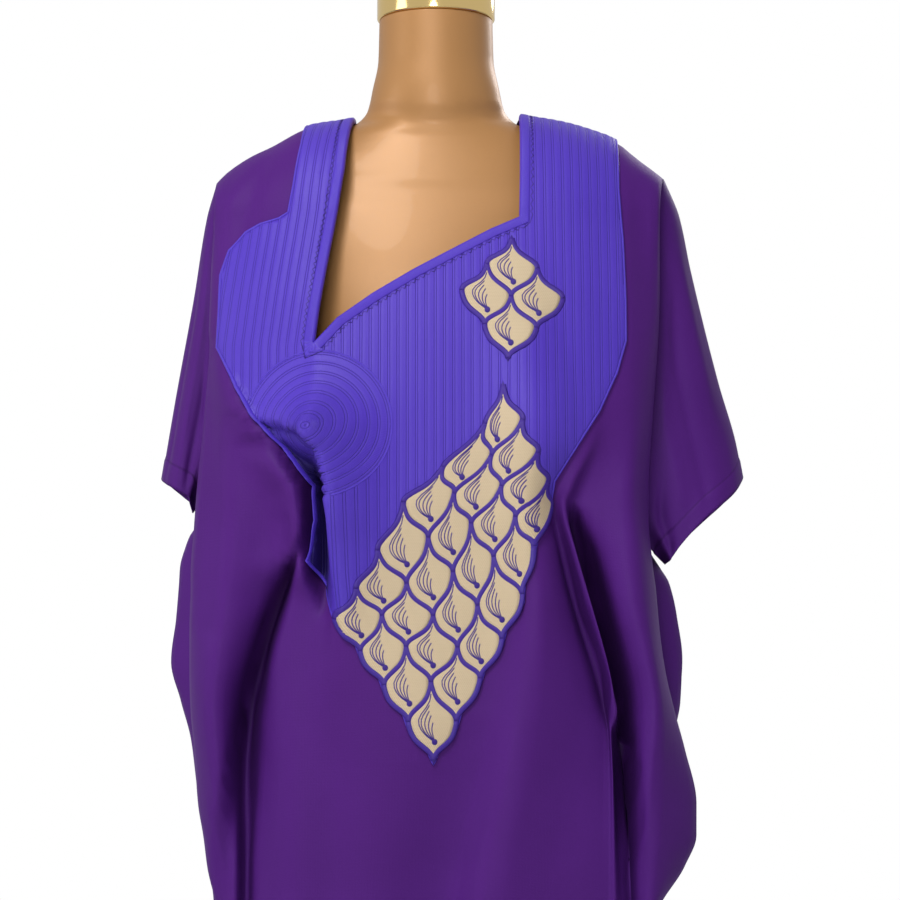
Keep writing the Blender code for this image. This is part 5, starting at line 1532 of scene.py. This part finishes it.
class ROBE_OT_leaves(bpy.types.Operator):
    """Make the cream leaves, their satin borders, dots and veins."""

    bl_idname = "robe.leaves"
    bl_label = "Leaf appliques"

    def leaf_flat(self, table, row, column, share, across):
        """Flat place in a leaf at a share of its length and of its half width."""
        up, spread = leaf_reach(share, LEAF_SCALE)
        x, z = leaf_point(table, row, column, up, across * spread)
        return x, drop_height(x, z)

    def dome(self, share, across):
        """Rise of a leaf over its ground."""
        full = max(1 - across * across, 0.0) ** 0.5
        return 0.15 + 0.6 * full * max(math.sin(math.pi * share), 0.0) ** 0.5

    def leaf(self, panel, table, row, column, base):
        """Make one cream leaf."""
        rows, count = 26, 13
        flats, outs = [], []
        for i in range(rows):
            share = i / (rows - 1)
            for k in range(count):
                across = -1 + 2 * k / (count - 1)
                flats.append(self.leaf_flat(table, row, column, share, across))
                outs.append(base + self.dome(share, across))
        spots = panel.place(flats, np.array(outs))
        faces = [f[::-1] for f in grid_faces(rows, count)]
        return make_piece("leaf", spots, faces, leaf_cloth(),
                          {"cloth": np.array(flats) * 0.001})

    def vein(self, panel, table, row, column, base, bend, end):
        """Make one vein line from the dot."""
        line, outs = [], []
        for k in range(11):
            t = k / 10
            across = LEAF_DOT[0] * (1 - t) ** 2 + 2 * t * (1 - t) * bend[0] + t * t * end[0]
            share = LEAF_DOT[1] * (1 - t) ** 2 + 2 * t * (1 - t) * bend[1] + t * t * end[1]
            across = max(across, -0.8)
            line.append(self.leaf_flat(table, row, column, share, across))
            outs.append(base + self.dome(share, across))
        finish = satin("vein satin", tuple(colours().thread))
        return strip("vein", panel, line, np.array(outs), 1.05, 0.35, finish, sides=4)

    def spot(self, panel, table, row, column, base):
        """Make the stitched dot near the leaf's foot."""
        centre = self.leaf_flat(table, row, column, LEAF_DOT[1], LEAF_DOT[0])
        flats, outs = [centre], [base + self.dome(LEAF_DOT[1], LEAF_DOT[0]) + 0.75]
        steps = 16
        for radius, high in ((0.45, 0.7), (0.8, 0.5), (1.0, 0.1), (1.0, -0.3)):
            for k in range(steps):
                angle = 2 * math.pi * k / steps
                reach = radius * sizes().dot
                flats.append((centre[0] + reach * math.cos(angle),
                              centre[1] + reach * 1.1 * math.sin(angle)))
                outs.append(base + self.dome(LEAF_DOT[1], LEAF_DOT[0]) + high)
        faces = disc_faces(4, steps)
        faces.append(tuple(1 + 3 * steps + k for k in range(steps))[::-1])
        chart = [(f[0] * 0.001, 0.5) for f in flats]
        finish = satin("vein satin", tuple(colours().thread))
        return make_piece("dot", panel.place(flats, np.array(outs)), faces, finish,
                          {"line": chart})

    def borders(self, panel, table, rows, across, base):
        """Make the satin lines between the leaves and round them."""
        lines = []
        upper = [0.5 + 0.5 * k / 12 for k in range(13)]
        lower = [0.5 * k / 12 for k in range(13)]
        for row in range(rows):
            for column in range(across):
                for side in (-1, 1):
                    lines.append(leaf_side(table, row, column, side, upper, 1.0))
                if column == across - 1:
                    lines.append(leaf_side(table, row, column, 1, lower, 1.0))
                if row == rows - 1:
                    lines.append(leaf_side(table, row, column, -1, lower, 1.0))
        finish = satin("border satin", tuple(c * 1.25 for c in colours().thread))
        return [strip("border", panel, on_drop(line), base, sizes().border, 0.85, finish)
                for line in lines]

    def ground(self, name, panel, border, base):
        """Make the violet ground that the leaves are sewn on."""
        border = even_line(border + border[:1], 3)[:-1]
        low = min(y for _, y in border)
        high = max(y for _, y in border)
        left = min(x for x, _ in border)
        right = max(x for x, _ in border)
        points = [(x, y) for x in np.arange(left, right, 4.0) for y in np.arange(low, high, 4.0)]
        turn = sum(a[0] * b[1] - b[0] * a[1] for a, b in zip(border, border[1:] + border[:1]))
        if turn < 0:
            border = border[::-1]
        flats, faces = cut(border, points, 1.8)
        spots = panel.place(flats, base)
        finish = satin("border satin", tuple(c * 1.25 for c in colours().thread))
        piece = make_piece(name, spots, faces, finish, {"line": flats * 0.001})
        thicken(piece, 0.5)
        return piece

    def execute(self, context):
        """Make the pieces."""
        panel = drape("front")
        base = SEAM_GAP + PLASTRON_CLOTH + 0.75
        bends = list(zip(*columns(VEINS, "bend_across", "bend_along")))
        ends = list(zip(*columns(VEINS, "end_across", "end_along")))
        for name, table, rows, across in leaf_groups():
            cells = [(row, column) for row in range(rows) for column in range(across)]
            ground = self.ground(name + "_ground", panel, leaf_border(table, rows, across), base)
            leaves = join([self.leaf(panel, table, row, column, base + 0.1)
                           for row, column in cells], name + "_leaves")
            choose(leaves)
            bpy.ops.object.mode_set(mode="EDIT")
            bpy.ops.mesh.select_all(action="SELECT")
            bpy.ops.mesh.remove_doubles(threshold=0.00002)
            bpy.ops.object.mode_set(mode="OBJECT")
            thicken(leaves, 0.4)
            lines = join(self.borders(panel, table, rows, across, base - 0.1), name + "_borders")
            veins = []
            for row, column in cells:
                veins += [self.vein(panel, table, row, column, base, bend, end)
                          for bend, end in zip(bends, ends)]
                veins.append(self.spot(panel, table, row, column, base))
            veins = join(veins, name + "_veins")
            hang(ground, "plastron_cloth", name)
            hang(leaves, "leaf_cloth")
            hang(lines, "plastron_cloth")
            hang(veins, "plastron_cloth")
            flat, area = ((0.19, 0.33), 0.026) if rows > 2 else ((0.09, 0.11), 0.0045)
            max(area * 0.75, 0.3 * flat[0] * flat[1])
        return {"FINISHED"}


class ROBE_OT_form(bpy.types.Operator):
    """Make the smooth torso, the neck cap, the pole and the base."""

    bl_idname = "robe.form"
    bl_label = "Dress form"

    def torso(self):
        """Make the torso from its level sections."""
        heights, widths, fronts, backs = columns(FORM, "height", "half_width", "front", "back")
        steps = 144
        levels = np.concatenate((np.arange(heights[0], 1360, 6.0),
                                 np.arange(1360, heights[-1], 2.0), heights[-1:]))
        angle = 2 * np.pi * np.arange(steps) / steps
        spots = []
        for level in levels:
            width = smooth(heights, widths, level)
            front, back = smooth(heights, fronts, level), smooth(heights, backs, level)
            depth = np.where(np.sin(angle) < 0, front, back)
            lens = 0.7 * ease((level - 1365) / 35) * (1 - ease((level - 1440) / 22))
            x = width * np.cos(angle)
            y = depth * np.sin(angle) * np.abs(np.sin(angle)) ** lens
            away = ((np.abs(x) - FORM_BUST["x"]) / FORM_BUST["across"]) ** 2
            away = away + ((level - FORM_BUST["height"]) / FORM_BUST["up"]) ** 2
            bust = FORM_BUST["rise"] * np.exp(-away / 2) * np.clip(-y / 30, 0.0, 1.0)
            spots.append(np.stack((x, np.where(y < 0, y - bust, y), np.full(steps, level)), -1))
        spots = np.concatenate(spots + [[(0, 0, levels[0])], [(0, 0, levels[-1])]])
        faces = [f[::-1] for f in grid_faces(len(levels), steps, True)]
        last = len(levels) * steps
        high = (len(levels) - 1) * steps
        faces += [(last, (k + 1) % steps, k) for k in range(steps)]
        faces += [(last + 1, high + k, high + (k + 1) % steps) for k in range(steps)]
        return make_piece("torso", spots, faces, torso_paint())

    def turned(self, name, table, finish, bevel):
        """Turn one piece up from a circle, a ring for each row of its profile."""
        radii, heights = columns(table, "radius", "height")
        bpy.ops.object.select_all(action="DESELECT")
        bpy.ops.mesh.primitive_circle_add(vertices=128, radius=radii[0] * 0.001,
                                          fill_type="NGON",
                                          location=(0, 0, heights[0] * 0.001))
        piece = bpy.context.object
        piece.name = name
        bpy.ops.object.mode_set(mode="EDIT")
        bpy.ops.mesh.select_all(action="SELECT")
        for i in range(1, len(radii)):
            rise = (heights[i] - heights[i - 1]) * 0.001
            bpy.ops.mesh.extrude_region_move(TRANSFORM_OT_translate={"value": (0, 0, rise)})
            share = radii[i] / radii[i - 1]
            bpy.ops.transform.resize(value=(share, share, 1.0),
                                     center_override=(0, 0, heights[i] * 0.001))
        bpy.ops.mesh.select_all(action="SELECT")
        bpy.ops.mesh.normals_make_consistent(inside=False)
        bpy.ops.object.mode_set(mode="OBJECT")
        bpy.ops.object.transform_apply(location=True, rotation=True, scale=True)
        edge = piece.modifiers.new("edge", "BEVEL")
        edge.width = bevel * 0.001
        edge.segments = 3
        edge.limit_method = "ANGLE"
        edge.angle_limit = 0.35
        bpy.ops.object.modifier_apply(modifier="edge")
        bpy.ops.object.shade_smooth_by_angle(angle=0.6)
        piece.data.materials.clear()
        piece.data.materials.append(finish)
        return piece

    def execute(self, context):
        """Make the pieces."""
        paint = colours()
        steel = polished("brushed stand", tuple(paint.steel), 0.3, 0.25)
        torso = self.torso()
        cap = self.turned("cap", CAP_PROFILE, polished("polished cap", tuple(paint.gold),
                                                       0.07, 0.02), 0.8)
        pole = self.turned("pole", POLE_PROFILE, steel, 0.6)
        base = self.turned("base", BASE_PROFILE, steel, 0.8)
        hang(torso, "form_finish", "form_torso")
        hang(cap, "cap_metal", "neck_cap")
        hang(pole, "stand_metal", "stand_pole")
        hang(base, "stand_metal", "stand_base")
        return {"FINISHED"}


class ROBE_OT_stage(bpy.types.Operator):
    """Make the pale floor, the soft lights and the camera."""

    bl_idname = "robe.stage"
    bl_label = "Stage"

    def area_light(self, name, place, aim, size, power):
        """Add one soft light aimed at a point."""
        lamp = bpy.data.lights.new(name, "AREA")
        lamp.shape = "DISK"
        lamp.size = size
        lamp.energy = power
        holder = bpy.data.objects.new(name, lamp)
        bpy.context.scene.collection.objects.link(holder)
        holder.location = place
        holder.rotation_euler = (Vector(aim) - Vector(place)).to_track_quat("-Z", "Y").to_euler()

    def floor(self):
        """Make a round pale floor, small enough to stay below the photo's frame."""
        steps = 96
        spots = [(0.0, 0.0, -0.5)]
        for radius in (1400.0, FLOOR_RADIUS):
            spots += [(x, y, -0.5) for x, y in circle((0.0, 0.0), radius, steps)]
        faces = disc_faces(2, steps)
        finish = Finish("pale stage", (0.86, 0.86, 0.86), 0.85, gloss=0.1)
        cloud = finish.noise(3.0, 2.0)
        finish.set("Base Color", finish.mix(cloud, (0.85, 0.85, 0.85), (0.88, 0.88, 0.88)))
        return make_piece("floor", spots, faces, finish.made)

    def sky(self, strength):
        """Show a white backdrop to the camera, and light the robe more softly than that."""
        world = bpy.data.worlds.new("soft sky")
        world.use_nodes = True
        tree = world.node_tree
        light = tree.nodes["Background"]
        light.inputs["Color"].default_value = (1.0, 1.0, 1.0, 1.0)
        light.inputs["Strength"].default_value = strength
        shown = tree.nodes.new("ShaderNodeBackground")
        shown.inputs["Color"].default_value = (1.0, 1.0, 1.0, 1.0)
        blend = tree.nodes.new("ShaderNodeMixShader")
        path = tree.nodes.new("ShaderNodeLightPath")
        share = tree.nodes.new("ShaderNodeMath")
        share.operation = "MULTIPLY_ADD"
        share.inputs[1].default_value = 0.55
        tree.links.new(path.outputs["Is Glossy Ray"], share.inputs[0])
        tree.links.new(path.outputs["Is Camera Ray"], share.inputs[2])
        tree.links.new(share.outputs[0], blend.inputs[0])
        tree.links.new(light.outputs[0], blend.inputs[1])
        tree.links.new(shown.outputs[0], blend.inputs[2])
        tree.links.new(blend.outputs[0], tree.nodes["World Output"].inputs["Surface"])
        return world

    def execute(self, context):
        """Make the stage."""
        settings = context.scene.robe_stage
        self.floor()
        aim = (0.0, 0.0, 1.15)
        power = settings.light
        self.area_light("main_light", (-0.65, -1.8, 2.9), aim, 0.9, power)
        self.area_light("front_light", (-0.2, -2.8, 1.4), aim, 0.8, power * 0.45)
        self.area_light("side_light", (-2.4, -0.9, 1.5), aim, 1.2, power * 0.26)
        self.area_light("back_light", (1.5, 2.1, 2.6), aim, 1.1, power * 0.6)
        context.scene.world = self.sky(settings.sky)
        eye = bpy.data.cameras.new("camera")
        eye.lens = settings.lens
        eye.sensor_width = 36.0
        holder = bpy.data.objects.new("camera", eye)
        context.scene.collection.objects.link(holder)
        holder.location = settings.camera
        holder.rotation_euler = (math.pi / 2, 0.0, 0.0)
        context.scene.camera = holder
        context.scene.view_settings.view_transform = "Standard"
        return {"FINISHED"}


class ROBE_PT_pieces(bpy.types.Panel):
    """List the sizes, the colours and the pieces of the robe."""

    bl_label = "Grand boubou robe"
    bl_idname = "ROBE_PT_pieces"
    bl_space_type = "VIEW_3D"
    bl_region_type = "UI"
    bl_category = "Robe"

    def draw(self, context):
        """Draw the panel."""
        layout = self.layout
        for group in (context.scene.robe_sizes, context.scene.robe_colours,
                      context.scene.robe_stage):
            box = layout.box()
            for key in group.bl_rna.properties.keys():
                if key not in ("rna_type", "name"):
                    box.prop(group, key)
        for operator in OPERATORS:
            layout.operator(operator.bl_idname)


OPERATORS = (ROBE_OT_front, ROBE_OT_back, ROBE_OT_sleeves, ROBE_OT_plastron,
             ROBE_OT_binding, ROBE_OT_leaves, ROBE_OT_form, ROBE_OT_stage)
CLASSES = (RobeSizes, RobeColours, StageSettings) + OPERATORS + (ROBE_PT_pieces,)


def register():
    """Register the classes and the settings."""
    for item in CLASSES:
        bpy.utils.register_class(item)
    bpy.types.Scene.robe_sizes = bpy.props.PointerProperty(type=RobeSizes)
    bpy.types.Scene.robe_colours = bpy.props.PointerProperty(type=RobeColours)
    bpy.types.Scene.robe_stage = bpy.props.PointerProperty(type=StageSettings)


def unregister():
    """Remove the settings and the classes."""
    del bpy.types.Scene.robe_stage
    del bpy.types.Scene.robe_colours
    del bpy.types.Scene.robe_sizes
    for item in reversed(CLASSES):
        bpy.utils.unregister_class(item)


def corners(box):
    """Turn a box into plain lists of numbers."""
    return [[float(value) for value in corner] for corner in box]


def main():
    """Make every piece in order."""
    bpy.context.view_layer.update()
    register()
    bpy.ops.robe.front()
    bpy.ops.robe.back()
    bpy.ops.robe.sleeves()
    bpy.ops.robe.plastron()
    bpy.ops.robe.binding()
    bpy.ops.robe.leaves()
    bpy.ops.robe.form()
    bpy.ops.robe.stage()


if __name__ == "__main__":
    main()
